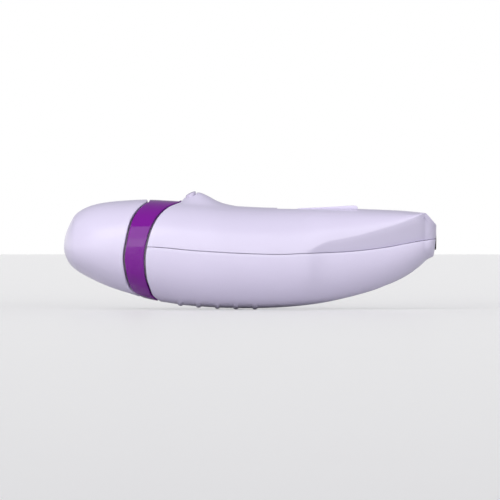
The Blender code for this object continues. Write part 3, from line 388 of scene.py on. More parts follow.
def cut_at(edge, turn, inset=0.0):
    """Where the surface line at this turn meets a curved edge x = edge(z)."""
    x = -45.0
    for _ in range(16):
        x = 0.5 * (x + edge(section_point(x, turn, inset)[2]))
    return x


def band(front, back, turns, shares, inset=0.0):
    """Rows of surface points between two edges, each edge a function of the turn."""
    grid = []
    for u in shares:
        grid.append([section_point(front(t) + (back(t) - front(t)) * u, t, inset) for t in turns])
    return grid


def even(count):
    return [k / count for k in range(count + 1)]


def spread(start, stop, count):
    """Turns between two seams, closer together towards each seam."""
    eased = [0.3 * u + 0.7 * (1 - math.cos(math.pi * u)) / 2 for u in even(count - 1)]
    return [start + (stop - start) * e for e in eased]


def top_turns(count, steps=1):
    """Turns over the top from one seam to the other, with the band's own turns at each end."""
    low = [BAND_TURN * k / steps for k in range(steps)]
    return low + spread(BAND_TURN, math.pi - BAND_TURN, count) + [math.pi - t for t in reversed(low)]


def low_turns(count):
    return [math.pi + 1e-6 + math.pi * share for share in even(count - 1)]


def full_turns():
    """Turns all the way round, the last one closing on the first."""
    return top_turns(48) + spread(math.pi, 2 * math.pi, 44)[1:]


def stepped(*runs):
    """Places along X in runs of (first, last, steps), each run ending where the next starts."""
    places = []
    for first, last, steps in runs:
        places += [first + (last - first) * k / steps for k in range(steps)]
    return places + [runs[-1][1]]


def tail_stations():
    """Places along X over the rounded tail, closing up as the corner turns."""
    start = TAIL_X - TAIL_CORNER_R
    turned = [start + TAIL_CORNER_R * math.sin(math.radians(a)) for a in range(6, 91, 6)]
    corner = [TAIL_CORNER_X + d * CHAMFER_ROUND for d in (-1.0, -0.5, 0.0, 0.5, 1.0)]
    places = sorted(turned + corner)
    kept = [places[0]]
    for x in places[1:]:
        if x - kept[-1] > 0.12:
            kept.append(x)
    kept[-1] = TAIL_X
    return kept


# ---------------------------------------------------------------- modelling by hand

def deselect():
    if bpy.context.object is not None and bpy.context.object.mode != "OBJECT":
        bpy.ops.object.mode_set(mode="OBJECT")
    bpy.ops.object.select_all(action="DESELECT")


def take(obj):
    """Make this the only selected and the active object."""
    deselect()
    obj.select_set(True)
    bpy.context.view_layer.objects.active = obj


def edit_all(obj, *steps):
    """Run edit-mode operators, as (operator, settings) pairs, on the whole mesh."""
    take(obj)
    bpy.ops.object.mode_set(mode="EDIT")
    bpy.ops.mesh.select_all(action="SELECT")
    for operator, settings in steps:
        operator(**settings)
    bpy.ops.object.mode_set(mode="OBJECT")


def tidy(obj):
    """Merge doubles and turn every face outwards."""
    edit_all(
        obj,
        (bpy.ops.mesh.remove_doubles, {"threshold": 1e-6}),
        (bpy.ops.mesh.normals_make_consistent, {"inside": False}))


def applied(obj, kind, **settings):
    """Add a modifier with these settings and apply it."""
    take(obj)
    step = obj.modifiers.new(kind.lower(), kind)
    for name, value in settings.items():
        setattr(step, name, value)
    bpy.ops.object.modifier_apply(modifier=step.name)


def laid_surface(name, rows):
    """A flat grid laid point by point over rows of places that close on themselves."""
    across = len(rows[0]) - 1
    down = len(rows) - 1
    deselect()
    bpy.ops.mesh.primitive_grid_add(x_subdivisions=across, y_subdivisions=down, size=1.0)
    surface = bpy.context.object
    if len(surface.data.vertices) != (across + 1) * (down + 1):
        raise RuntimeError(f"the grid for {name} hasn't a point for each place")
    for vertex in surface.data.vertices:
        row = rows[round((vertex.co.y + 0.5) * down)]
        vertex.co = Vector(row[round((vertex.co.x + 0.5) * across)]) * MM
    surface.name = name
    surface.data.name = name
    tidy(surface)
    return surface


def unit(v):
    return v.normalized() if v.length > 1e-9 else Vector((0.0, 0.0, 0.0))


def steps_between(points, k, closed):
    """Unit steps from a point to the next and from the one before, past either end if closed."""
    count = len(points)
    if closed:
        after = points[(k + 1) % (count - 1)] - points[k]
        before = points[k] - points[(k - 1) % (count - 1)]
    else:
        after = points[min(k + 1, count - 1)] - points[k]
        before = points[k] - points[max(k - 1, 0)]
    return unit(after) + unit(before)


def grid_normals(grid, closed):
    """Unit normal at each point of a grid of rows, away from the inside."""
    columns = list(zip(*grid))
    normals = []
    for i, row in enumerate(grid):
        found = []
        for k in range(len(row)):
            round_step = steps_between(row, k, closed)
            long_step = steps_between(columns[k], i, False)
            found.append(unit(round_step.cross(long_step)))
        normals.append(found)
    for i, found in enumerate(normals):
        beside = normals[i - 1] if i else normals[1]
        mean = unit(sum(beside, Vector((0.0, 0.0, 0.0))))
        normals[i] = [n if n.length > 0.5 else mean for n in found]
    return normals


def rim_arc(point, off_edge, normal, radius, backwards=False):
    """Places round a rim: off_edge points off the sheet, normal away from the wall."""
    arc = []
    for degrees in RIM_DEGREES:
        turn = math.radians(degrees)
        back = off_edge * radius * (1 - math.sin(turn))
        down = normal * radius * (1 - math.cos(turn))
        arc.append(point - back - down)
    return arc[::-1] if backwards else arc


def round_wall(name, rows, wall, rim, both_ends):
    """A wall grown inwards from rows that close around, with rounded rims at its open ends."""
    outer = [[Vector(p) for p in row] for row in rows]
    normals = grid_normals(outer, True)
    inner = [[p - n * wall for p, n in zip(r, ns)] for r, ns in zip(outer, normals)]

    def rim_rows(end, inward):
        """Rows round the rim from outside to inside; inward is the step to the next row in."""
        arcs = []
        for k, point in enumerate(outer[end]):
            off = unit(point - outer[end + inward][k])
            normal = normals[end][k]
            arcs.append(rim_arc(point, off, normal, rim) + rim_arc(inner[end][k], off, -normal, rim, True))
        return [list(row) for row in zip(*arcs)]

    last = rim_rows(len(outer) - 1, -1)
    if both_ends:
        first = rim_rows(0, 1)
        loops = outer[1:-1] + last + inner[1:-1][::-1] + first[::-1]
        loops.append(loops[0])
    else:
        loops = outer[:-1] + last + inner[:-1][::-1]
    return laid_surface(name, loops)


def half_wall(name, rows, wall, seam_rim, mouth_rim, swell=None):
    """A wall grown inwards from rows that run from seam to seam, its last row drawn to a point."""
    outer = [[Vector(p) for p in row] for row in rows]
    normals = grid_normals(outer, False)
    sides = [(unit(row[0] - row[1]), unit(row[-1] - row[-2])) for row in outer]
    mean = unit(sides[-2][0] + sides[-2][1])
    sides[-1] = (mean, mean)
    loops = []
    for row, found, (first, last) in zip(outer, normals, sides):
        inner = [p - n * wall for p, n in zip(row, found)]
        if swell is not None:
            row = [swell(p) for p in row]
        out_line = rim_arc(row[0], first, found[0], seam_rim, True) + row[1:-1] + rim_arc(
            row[-1], last, found[-1], seam_rim)
        in_line = rim_arc(inner[0], first, -found[0], seam_rim, True) + inner[1:-1] + rim_arc(
            inner[-1], last, -found[-1], seam_rim)
        loops.append((out_line, in_line))
    steps = len(RIM_DEGREES)
    for line in loops[-1]:
        line[steps:-steps] = [line[steps - 1]] * (len(line) - 2 * steps)
    mouth = mouth_rows(loops[0], loops[1], mouth_rim)
    rows = []
    for out_line, in_line in mouth + loops[1:]:
        loop = out_line + in_line[::-1]
        rows.append(loop + [loop[0]])
    return laid_surface(name, rows)


def mouth_rows(first, second, radius):
    """Rows round the front mouth, from the middle of the wall to the outer and inner faces."""
    arcs = []
    for p, q, p_next, q_next in zip(first[0], first[1], second[0], second[1]):
        normal = unit(p - q)
        outer_arc = rim_arc(p, unit(p - p_next), normal, radius)
        inner_arc = rim_arc(q, unit(q - q_next), -normal, radius)
        arcs.append((outer_arc, inner_arc))
    rows = []
    for step in range(len(RIM_DEGREES)):
        rows.insert(0, ([a[0][step] for a in arcs], [a[1][step] for a in arcs]))
    middle = [(a[0][-1] + a[1][-1]) / 2 for a in arcs]
    rows.insert(0, (middle, list(middle)))
    return rows


def round_edges(obj, width, angle=50.0, segments=3):
    applied(
        obj, "BEVEL", width=width * MM, segments=segments, limit_method="ANGLE",
        angle_limit=math.radians(angle), use_clamp_overlap=True)


def smooth(obj, angle=32.0):
    take(obj)
    bpy.ops.object.shade_smooth_by_angle(angle=math.radians(angle))


def cut(obj, tool, use_self=False):
    applied(obj, "BOOLEAN", operation="DIFFERENCE", solver="EXACT", use_self=use_self, object=tool)
    bpy.data.objects.remove(tool, do_unlink=True)


def join(obj, tool):
    applied(obj, "BOOLEAN", operation="UNION", solver="EXACT", object=tool)
    bpy.data.objects.remove(tool, do_unlink=True)


def settle(obj):
    """Put the object's place into its mesh."""
    take(obj)
    bpy.ops.object.transform_apply(location=True, rotation=True, scale=True)


def box_piece(name, low, high):
    middle = [(a + b) / 2 * MM for a, b in zip(low, high)]
    deselect()
    bpy.ops.mesh.primitive_cube_add(size=1.0, location=middle)
    obj = bpy.context.object
    obj.scale = [(b - a) * MM for a, b in zip(low, high)]
    obj.name = name
    settle(obj)
    return obj


def rod_piece(name, axis, start, length, radius, sides=32):
    aim = {"X": (0, math.pi / 2, 0), "Y": (-math.pi / 2, 0, 0), "Z": (0, 0, 0)}[axis]
    step = {"X": Vector((1, 0, 0)), "Y": Vector((0, 1, 0)), "Z": Vector((0, 0, 1))}[axis]
    deselect()
    bpy.ops.mesh.primitive_cylinder_add(
        vertices=sides, radius=radius * MM, depth=length * MM,
        location=(Vector(start) + step * length / 2) * MM, rotation=aim)
    obj = bpy.context.object
    obj.name = name
    settle(obj)
    return obj


def plate_piece(name, outline, axis, start, thick):
    """A flat outline of (across, up) places, extruded by a thickness along X, Y or Z."""
    deselect()
    bpy.ops.mesh.primitive_circle_add(vertices=len(outline), radius=1.0, fill_type="NGON")
    obj = bpy.context.object
    place = {
        "X": lambda u, v: (start, u, v),
        "Y": lambda u, v: (u, start, v),
        "Z": lambda u, v: (u, v, start),
    }[axis]
    for vertex, (u, v) in zip(obj.data.vertices, outline):
        vertex.co = Vector(place(u, v)) * MM
    obj.name = name
    direction = {"X": (thick * MM, 0, 0), "Y": (0, thick * MM, 0), "Z": (0, 0, thick * MM)}[axis]
    edit_all(
        obj,
        (bpy.ops.mesh.extrude_region_move, {"TRANSFORM_OT_translate": {"value": direction}}))
    tidy(obj)
    return obj


def turned_piece(name, axis, centre, outline, steps=64):
    """A closed (radius, along) outline spun once round an axis through the centre."""
    deselect()
    bpy.ops.mesh.primitive_circle_add(vertices=len(outline), radius=1.0, fill_type="NOTHING")
    obj = bpy.context.object
    cx, cy, cz = centre
    for vertex, (radius, shift) in zip(obj.data.vertices, outline):
        spot = (cx + shift, cy, cz + radius) if axis == "X" else (cx, cy + shift, cz + radius)
        vertex.co = Vector(spot) * MM
    obj.name = name
    direction = (1, 0, 0) if axis == "X" else (0, 1, 0)
    edit_all(
        obj,
        (bpy.ops.mesh.spin, {
            "steps": steps, "angle": 2 * math.pi, "center": Vector(centre) * MM, "axis": direction}))
    tidy(obj)
    edit_all(obj, (bpy.ops.mesh.delete_loose, {}))
    return obj


def mirrored(half):
    """An outline of (radius, along) places, closed by its own mirror image."""
    return half + [(radius, -shift) for radius, shift in reversed(half)]


def stadium(long, wide, count=16):
    """A round-ended slot outline, its long side along the first axis."""
    r = wide / 2
    reach = long / 2 - r
    points = []
    for side, first in ((1, -math.pi / 2), (-1, math.pi / 2)):
        for k in range(count):
            turn = first + math.pi * k / (count - 1)
            points.append((side * reach + r * math.cos(turn), r * math.sin(turn)))
    return points


def rounded_box_outline(low, high, corner, steps=6):
    (x0, y0), (x1, y1) = low, high
    points = []
    for cx, cy, first in ((x1 - corner, y1 - corner, 0), (x0 + corner, y1 - corner, 90),
                          (x0 + corner, y0 + corner, 180), (x1 - corner, y0 + corner, 270)):
        for k in range(steps + 1):
            turn = math.radians(first + 90 * k / steps)
            points.append((cx + corner * math.cos(turn), cy + corner * math.sin(turn)))
    return points


def finish_piece(obj, material, body, slot, *nodes):
    """Give a new piece its material and body, and let it stand for its CAD nodes."""
    obj.data.materials.clear()
    obj.data.materials.append(material)
    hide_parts(*nodes)
    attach(obj, body)
    return obj


def dress(material, *nodes):
    """Put a material on CAD nodes that are shown as they are."""
    for name in nodes:
        mesh = frame["nodes"][name].data
        for k in range(len(mesh.materials)):
            mesh.materials[k] = material


def merged_copy(node):
    """A copy of a CAD node with its doubled points merged and its flat faces joined."""
    copy = frame["nodes"][node].copy()
    copy.data = copy.data.copy()
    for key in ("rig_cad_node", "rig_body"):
        if key in copy:
            del copy[key]
    copy.parent = None
    bpy.context.scene.collection.objects.link(copy)
    copy.name = f"{node}_soft"
    edit_all(
        copy,
        (bpy.ops.mesh.remove_doubles, {"threshold": 1e-6}),
        (bpy.ops.mesh.dissolve_limited, {"angle_limit": math.radians(0.5)}))
    return copy


def softened(node, material, body, slot, width, angle=40.0):
    """A merged copy of a CAD node with its edges rounded."""
    copy = merged_copy(node)
    round_edges(copy, width, angle, 2)
    smooth(copy, 35.0)
    return finish_piece(copy, material, body, slot, node)


# ---------------------------------------------------------------- finishes

def new_material(name):
    """An empty node material; returns it with its nodes, links and main shader."""
    material = bpy.data.materials.new(name)
    material.use_nodes = True
    tree = material.node_tree
    return material, tree.nodes, tree.links, tree.nodes["Principled BSDF"]


def set_inputs(shader, **values):
    """Constants for a shader's sockets, with _ for each space in a socket's name."""
    for name, value in values.items():
        shader.inputs[name.replace("_", " ")].default_value = value


def object_noise(nodes, links, size_mm, detail=2.0, stretch=(1.0, 1.0, 1.0)):
    """Noise whose grains are about this many millimetres across."""
    place = nodes.new("ShaderNodeTexCoord")
    mapping = nodes.new("ShaderNodeMapping")
    mapping.inputs["Scale"].default_value = stretch
    noise = nodes.new("ShaderNodeTexNoise")
    noise.inputs["Scale"].default_value = 1.0 / (size_mm * MM)
    noise.inputs["Detail"].default_value = detail
    links.new(place.outputs["Object"], mapping.inputs["Vector"])
    links.new(mapping.outputs["Vector"], noise.inputs["Vector"])
    return noise.outputs["Fac"]


def ranged(nodes, links, source, low, high, from_low=0.35, from_high=0.65):
    step = nodes.new("ShaderNodeMapRange")
    step.inputs["From Min"].default_value = from_low
    step.inputs["From Max"].default_value = from_high
    step.inputs["To Min"].default_value = low
    step.inputs["To Max"].default_value = high
    links.new(source, step.inputs["Value"])
    return step.outputs["Result"]


def tinted(nodes, links, source, colour, shade):
    """Colour that drifts between a colour and the same colour scaled by a shade."""
    ramp = nodes.new("ShaderNodeValToRGB")
    ramp.color_ramp.elements[0].position = 0.3
    ramp.color_ramp.elements[1].position = 0.7
    ramp.color_ramp.elements[0].color = (*[c * shade for c in colour], 1.0)
    ramp.color_ramp.elements[1].color = (*colour, 1.0)
    links.new(source, ramp.inputs["Fac"])
    return ramp.outputs["Color"]


def bumped(nodes, links, shader, source, depth_mm, strength=1.0):
    bump = nodes.new("ShaderNodeBump")
    bump.inputs["Distance"].default_value = depth_mm * MM
    bump.inputs["Strength"].default_value = strength
    links.new(source, bump.inputs["Height"])
    links.new(bump.outputs["Normal"], shader.inputs["Normal"])


def moulded(name, colour, roughness, grain_mm, depth_mm, shade=0.94, coat=0.0, coat_roughness=0.1):
    """Moulded plastic: a fine surface grain, a slow drift of colour and uneven gloss."""
    material, nodes, links, shader = new_material(name)
    drift = object_noise(nodes, links, 14.0)
    links.new(tinted(nodes, links, drift, colour, shade), shader.inputs["Base Color"])
    cloud = object_noise(nodes, links, 3.0, 3.0)
    links.new(ranged(nodes, links, cloud, roughness * 0.88, roughness * 1.12), shader.inputs["Roughness"])
    bumped(nodes, links, shader, object_noise(nodes, links, grain_mm), depth_mm)
    set_inputs(shader, Coat_Weight=coat, Coat_Roughness=coat_roughness)
    return material


def pearl_material():
    """Pearl lacquer: fine bright flakes in a lilac base, under a satin clear coat."""
    material, nodes, links, shader = new_material("pearl_lilac_lacquer")
    base = colours().pearl
    flake = object_noise(nodes, links, 0.14, 1.0)
    flakes = tinted(nodes, links, flake, [min(c * 1.03, 1.0) for c in base], 0.955)
    drift = object_noise(nodes, links, 30.0)
    mix = nodes.new("ShaderNodeMix")
    mix.data_type = "RGBA"
    mix.blend_type = "MULTIPLY"
    mix.inputs["Factor"].default_value = 1.0
    links.new(flakes, mix.inputs["A"])
    links.new(tinted(nodes, links, drift, (1.0, 1.0, 1.0), 0.985), mix.inputs["B"])
    links.new(mix.outputs["Result"], shader.inputs["Base Color"])
    links.new(ranged(nodes, links, flake, 0.30, 0.42), shader.inputs["Roughness"])
    bumped(nodes, links, shader, flake, 0.0012)
    set_inputs(shader, Coat_Weight=0.35, Coat_Roughness=0.16)
    return material


def gloss_material():
    """Deep glossy purple: a saturated base under a hard clear coat with a faint orange-peel."""
    material, nodes, links, shader = new_material("gloss_purple_lacquer")
    drift = object_noise(nodes, links, 9.0)
    links.new(tinted(nodes, links, drift, colours().purple, 0.93), shader.inputs["Base Color"])
    cloud = object_noise(nodes, links, 2.5, 3.0)
    links.new(ranged(nodes, links, cloud, 0.10, 0.14), shader.inputs["Roughness"])
    bumped(nodes, links, shader, object_noise(nodes, links, 1.6), 0.0006)
    set_inputs(shader, Specular_IOR_Level=0.0, Coat_Weight=1.0, Coat_Roughness=0.02)
    return material


def metal_material(name, colour, roughness, grain_mm, stretch, depth_mm=0.001):
    """Worked metal with fine lines that run along one direction."""
    material, nodes, links, shader = new_material(name)
    lines = object_noise(nodes, links, grain_mm, 3.0, stretch)
    links.new(tinted(nodes, links, lines, colour, 0.86), shader.inputs["Base Color"])
    links.new(ranged(nodes, links, lines, roughness * 0.75, roughness * 1.3), shader.inputs["Roughness"])
    bumped(nodes, links, shader, lines, depth_mm)
    set_inputs(shader, Metallic=1.0)
    return material


def winding_material():
    """Enamelled copper wire laid in close turns."""
    material, nodes, links, shader = new_material("enamelled_copper")
    place = nodes.new("ShaderNodeTexCoord")
    turns = nodes.new("ShaderNodeTexWave")
    turns.wave_type = "BANDS"
    turns.bands_direction = "X"
    turns.wave_profile = "SIN"
    turns.inputs["Scale"].default_value = 900.0
    turns.inputs["Distortion"].default_value = 0.6
    links.new(place.outputs["Object"], turns.inputs["Vector"])
    tint = tinted(nodes, links, turns.outputs["Fac"], (0.72, 0.30, 0.13), 0.45)
    links.new(tint, shader.inputs["Base Color"])
    bumped(nodes, links, shader, turns.outputs["Fac"], 0.05)
    set_inputs(shader, Metallic=0.85, Roughness=0.32)
    return material


def board_material():
    """Green solder mask with copper tracks under it and a faint glass weave."""
    material, nodes, links, shader = new_material("green_solder_mask")
    place = nodes.new("ShaderNodeTexCoord")
    tracks = nodes.new("ShaderNodeTexBrick")
    tracks.inputs["Scale"].default_value = 160.0
    tracks.inputs["Color1"].default_value = (0.010, 0.130, 0.045, 1.0)
    tracks.inputs["Color2"].default_value = (0.014, 0.165, 0.060, 1.0)
    tracks.inputs["Mortar"].default_value = (0.060, 0.300, 0.120, 1.0)
    tracks.inputs["Mortar Size"].default_value = 0.05
    links.new(place.outputs["Object"], tracks.inputs["Vector"])
    links.new(tracks.outputs["Color"], shader.inputs["Base Color"])
    weave = object_noise(nodes, links, 0.3, 2.0)
    links.new(ranged(nodes, links, weave, 0.28, 0.45), shader.inputs["Roughness"])
    bumped(nodes, links, shader, tracks.outputs["Fac"], 0.03)
    set_inputs(shader, Coat_Weight=0.4)
    return material


made = {}


def finish(name):
    """The named finish, made the first time it is asked for."""
    if name not in made:
        white = tuple(colours().white)
        makers = {
            "pearl": pearl_material,
            "gloss": gloss_material,
            "white": lambda: moulded("white_moulding", white, 0.42, 0.25, 0.004),
            "dark": lambda: moulded("dark_moulding", (0.028, 0.026, 0.032), 0.38, 0.2, 0.006, 0.8),
            "button": lambda: moulded(
                "pale_lilac_button", (0.62, 0.57, 0.74), 0.22, 0.3, 0.001, 0.92, 0.8, 0.05),
            "acetal": lambda: moulded("natural_acetal", (0.80, 0.77, 0.68), 0.36, 0.3, 0.002),
            "steel": lambda: metal_material("ground_steel", (0.60, 0.60, 0.62), 0.24, 0.25, (1, 1, 14)),
            "disc": lambda: metal_material("polished_disc_steel", (0.72, 0.72, 0.74), 0.16, 0.3, (1, 9, 1)),
            "brass": lambda: metal_material("turned_brass", (0.74, 0.52, 0.22), 0.26, 0.2, (1, 8, 1)),
            "copper": winding_material,
            "board": board_material,
            "red": lambda: moulded("red_insulation", (0.50, 0.02, 0.02), 0.45, 0.3, 0.004, 0.85),
            "black": lambda: moulded("black_insulation", (0.018, 0.018, 0.020), 0.45, 0.3, 0.004, 0.85),
            "magnet": lambda: moulded("sintered_magnet", (0.07, 0.07, 0.075), 0.55, 0.15, 0.02, 0.75),
        }
        made[name] = makers[name]()
    return made[name]


# ---------------------------------------------------------------- cap and ring

def front_edge(turn):
    return cut_at(ring_front, turn)


def back_edge(turn):
    return cut_at(ring_back, turn)


class EPILATOR_OT_cap(bpy.types.Operator):
    """Model the rounded travel cap over the head"""
    bl_idname = "epilator.cap"
    bl_label = "Travel Cap"

    def execute(self, context):
        shares = [u * u for u in even(46)]
        rows = band(lambda t: NOSE_X, lambda t: front_edge(t) - EDGE_GAP, full_turns(), shares)
        cap = round_wall("travel_cap", rows, sizes().cap_wall, sizes().rim_round, False)
        smooth(cap)
        finish_piece(cap, finish("pearl"), "cap", "pearl_shell", "head_cap")
        return {"FINISHED"}


class EPILATOR_OT_ring(bpy.types.Operator):
    """Model the glossy ring at the base of the head"""
    bl_idname = "epilator.ring"
    bl_label = "Glossy Ring"

    def execute(self, context):
        rows = band(front_edge, back_edge, full_turns(), even(14))
        ring = round_wall("gloss_ring", rows, sizes().ring_wall, sizes().rim_round, True)
        cut(ring, box_piece("notch", *RING_NOTCH))
        smooth(ring)
        finish_piece(ring, finish("gloss"), "head", "purple_ring", "head_ring")
        return {"FINISHED"}


# ---------------------------------------------------------------- housing

def open_seam(rows, amount):
    """Open half the seam gap by moving the seam edge up or down."""
    for row in rows:
        for k in (0, len(row) - 1):
            x, y, z = row[k]
            row[k] = (x, y, z + amount)
    return rows


def wall_x(z):
    """Place along X of the end wall, which leans in below the seam."""
    seam = seam_line(TAIL_X)
    return TAIL_X - WALL_LEAN * max(seam - z, 0.0) / (seam - low_line(TAIL_X))


def leaning(rows):
    """Lean the end wall in below the seam, with the last millimetres of the shell."""
    leant = []
    for row in rows:
        near = [min(max((x - TAIL_X) / WALL_REACH + 1.0, 0.0), 1.0) for x, y, z in row]
        leant.append([(x - (TAIL_X - wall_x(z)) * u * u, y, z) for u, (x, y, z) in zip(near, row)])
    return leant


def socket_slot(name, long, high, start_x, depth):
    outline = [(u, SOCKET_Z + v) for u, v in stadium(long, high)]
    return plate_piece(name, outline, "X", start_x, depth)


def button_prism(name, ease, low, high):
    outline = [(BUTTON_X + v, u) for u, v in stadium(BUTTON_LONG + 2 * ease, BUTTON_WIDE + 2 * ease)]
    return plate_piece(name, outline, "Z", low, high - low)


def upright_block(name, low, high, corner):
    outline = rounded_box_outline(low[:2], high[:2], corner)
    return plate_piece(name, outline, "Z", low[2], high[2] - low[2])


def drawn_in(rows):
    """Add the flat end wall: rows that draw the last one in to the middle of the seam."""
    seam_x, _, seam_z = rows[-1][0]
    wall = []
    for scale in END_WALL_SCALES:
        row = []
        for x, y, z in rows[-1]:
            row.append((seam_x + (x - seam_x) * scale, y * scale, seam_z + (z - seam_z) * scale))
        wall.append(row)
    return rows + wall


def shell_rows(turns, full_x, stations):
    """Rows of a shell from its curved mouth to the tail; from full_x on they stand straight."""
    rows = band(lambda t: back_edge(t) + EDGE_GAP, lambda t: full_x, turns, MOUTH_SHARES)
    return rows + [[section_point(x, t) for t in turns] for x in stations + tail_stations()]


def shell_wall(name, rows, swell=None):
    return half_wall(name, rows, sizes().shell_wall, sizes().seam_round, sizes().rim_round, swell)


def finish_shell(shell, node):
    """Cut the socket's opening and lay the pearl finish on."""
    cut(shell, socket_slot("socket_hole", SOCKET_LONG + 2 * GAP, SOCKET_HIGH + 2 * GAP, 70.0, 20.0))
    smooth(shell, 28.0)
    finish_piece(shell, finish("pearl"), "housing", "pearl_shell", node)


def ribbed(point):
    """Swell a point of the belly outwards where one of the five grip ribs crosses it."""
    x, y, z = point
    seam = seam_line(x)
    if z > seam - 8.0:
        return point
    depth = min((seam - z) / (seam - low_line(x)), 1.0) ** (squareness(x) / 2.0)
    off = math.degrees(math.acos(depth))
    fade = max(1.0 - (off / RIB_SWEEP) ** 4, 0.0)
    lift = 0.0
    for centre in RIB_CENTRES:
        part = min(abs(x - centre) / RIB_HALF_X, 1.0)
        lift += RIB_HEIGHT * fade * (1.0 - part ** 2.6)
    return point - Vector((0.0, 0.0, lift))


class EPILATOR_OT_upper_shell(bpy.types.Operator):
    """Model the upper housing shell with its hump, crease, chamfer and openings"""
    bl_idname = "epilator.upper_shell"
    bl_label = "Upper Shell"

    def execute(self, context):
        turns = top_turns(60, 3)
        stations = stepped(
            (UPPER_FULL_X, HUMP_END_X, 28), (HUMP_END_X, GRIP_END_X, 12), (GRIP_END_X, TAIL_START_X, 26))
        rows = shell_rows(turns, UPPER_FULL_X, stations[1:-1])
        shell = shell_wall("upper_shell", drawn_in(open_seam(rows, UPPER_SEAM_LIFT)))
        boss_low = SPLIT_Z + GAP
        join(shell, rod_piece(
            "boss", "Z", (SCREW_X, 0, boss_low), UPPER_BOSS_TOP_Z - boss_low, UPPER_BOSS_R))
        cut(shell, rod_piece("pilot", "Z", (SCREW_X, 0, SPLIT_Z - 1), 12.0, PILOT_R))
        track_low = (KNOB_X[0] - SWITCH_TRAVEL - GAP, -KNOB_HALF_Y - GAP, KNOB_FLOOR_Z)
        track_high = (KNOB_X[1] + GAP, KNOB_HALF_Y + GAP, TRACK_TOP_Z)
        cut(shell, upright_block("track", track_low, track_high, 0.8))
        cut(shell, box_piece("hook_room", *HOOK_ROOM))
        slot_low = (STEM_X - STEM_HALF_X - SWITCH_TRAVEL - GAP, -2.8, 40.0)
        cut(shell, box_piece("slot", slot_low, (STEM_X + STEM_HALF_X + GAP, 2.8, 45.0)))
        cut(shell, button_prism("button_hole", GAP, 40.0, 56.0))
        finish_shell(shell, "top_shell")
        return {"FINISHED"}


def seam_tongue(side):
    """A tongue inside the seam: it stands on the lower shell's wall and closes the gap from behind."""
    rows = []
    for x in spread(*TONGUE_X, 40):
        y, z = section_point(x, JUST_BELOW_SEAM)[1], seam_line(x)
        rows.append([(x, side * (y - inward), z + up) for inward, up in TONGUE_OUTLINE])
    ends = []
    inward, up = TONGUE_MIDDLE
    for x, y, z in (rows[0][0], rows[-1][0]):
        ends.append([(x, side * (abs(y) - inward), z + up)] * len(TONGUE_OUTLINE))
    return laid_surface("seam_tongue", [ends[0]] + rows + [ends[1]])


class EPILATOR_OT_lower_shell(bpy.types.Operator):
    """Model the lower housing shell with its belly ribs, screw well and socket opening"""
    bl_idname = "epilator.lower_shell"
    bl_label = "Lower Shell"

    def execute(self, context):
        turns = low_turns(64)
        stations = []
        for centre, following in zip(RIB_CENTRES, RIB_CENTRES[1:] + (GRIP_END_X,)):
            stations += [centre + step for step in RIB_STEPS]
            gap_low = centre + RIB_HALF_X
            gap_long = following - RIB_HALF_X - gap_low
            steps = max(round(gap_long / RIB_SPACING), 2)
            stations += [gap_low + gap_long * k / steps for k in range(1, steps)]
        stations += stepped((GRIP_END_X, TAIL_START_X, 26))[:-1]
        rows = shell_rows(turns, RIB_CENTRES[0] - RIB_LEAD, stations)
        shell = shell_wall("lower_shell", drawn_in(leaning(open_seam(rows, -LOWER_SEAM_DROP))), ribbed)
        for side in (-1, 1):
            join(shell, seam_tongue(side))
        join(shell, rod_piece(
            "boss", "Z", (SCREW_X, 0, LOWER_BOSS_LOW_Z), SPLIT_Z - LOWER_BOSS_LOW_Z, LOWER_BOSS_R))
        cut(shell, rod_piece("counterbore", "Z", (SCREW_X, 0, 5.0), SCREW_SEAT_Z - 5.0, SCREW_WELL_R, 48))
        cut(shell, rod_piece("clearance", "Z", (SCREW_X, 0, 10.0), 16.0, 1.5))
        for side in (-1, 1):
            join(shell, rod_piece(
                "foot", "Z", (0, side * FOOT_Y, FOOT_LOW_Z), FOOT_Z - GAP - FOOT_LOW_Z, FOOT_R))
            cut(shell, rod_piece("pilot", "Z", (0, side * FOOT_Y, 6.0), 12.0, PILOT_R))
        finish_shell(shell, "bottom_shell")
        return {"FINISHED"}


# ---------------------------------------------------------------- controls

def slope(x):
    return HUMP_FOOT[1] + (x - HUMP_FOOT[0]) * HUMP_SLOPE


class EPILATOR_OT_release(bpy.types.Operator):
    """Model the domed head-release button and dress its latch and spring"""
    bl_idname = "epilator.release"
    bl_label = "Head Release"

    def execute(self, context):
        rise = sizes().button_rise
        outline = stadium(BUTTON_LONG, BUTTON_WIDE, 20)
        outline.append(outline[0])
        rows = [[(BUTTON_X, 0.0, BUTTON_LOW_Z)] * len(outline)]
        rows.append([(BUTTON_X + v, u, BUTTON_LOW_Z) for u, v in outline])
        for scale, share in BUTTON_DOME:
            row = []
            for u, v in outline:
                x = BUTTON_X + v * scale
                row.append((x, u * scale, slope(x) + rise * share))
            rows.append(row)
        button = laid_surface("release_cap", rows)
        smooth(button, 40.0)
        finish_piece(button, finish("button"), "release", "pearl_shell", "release_button")
        softened("latch_hook", finish("dark"), "release", "dark_plastic", 0.15)
        self.spring()
        return {"FINISHED"}

    def spring(self):
        """The spring keeps its foot on the shelf: a merged copy in the housing's body, with a mesh of its
        own.
        """
        spring = merged_copy("latch_spring")
        finish_piece(spring, finish("steel"), "housing", "steel", "latch_spring")
        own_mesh(spring)


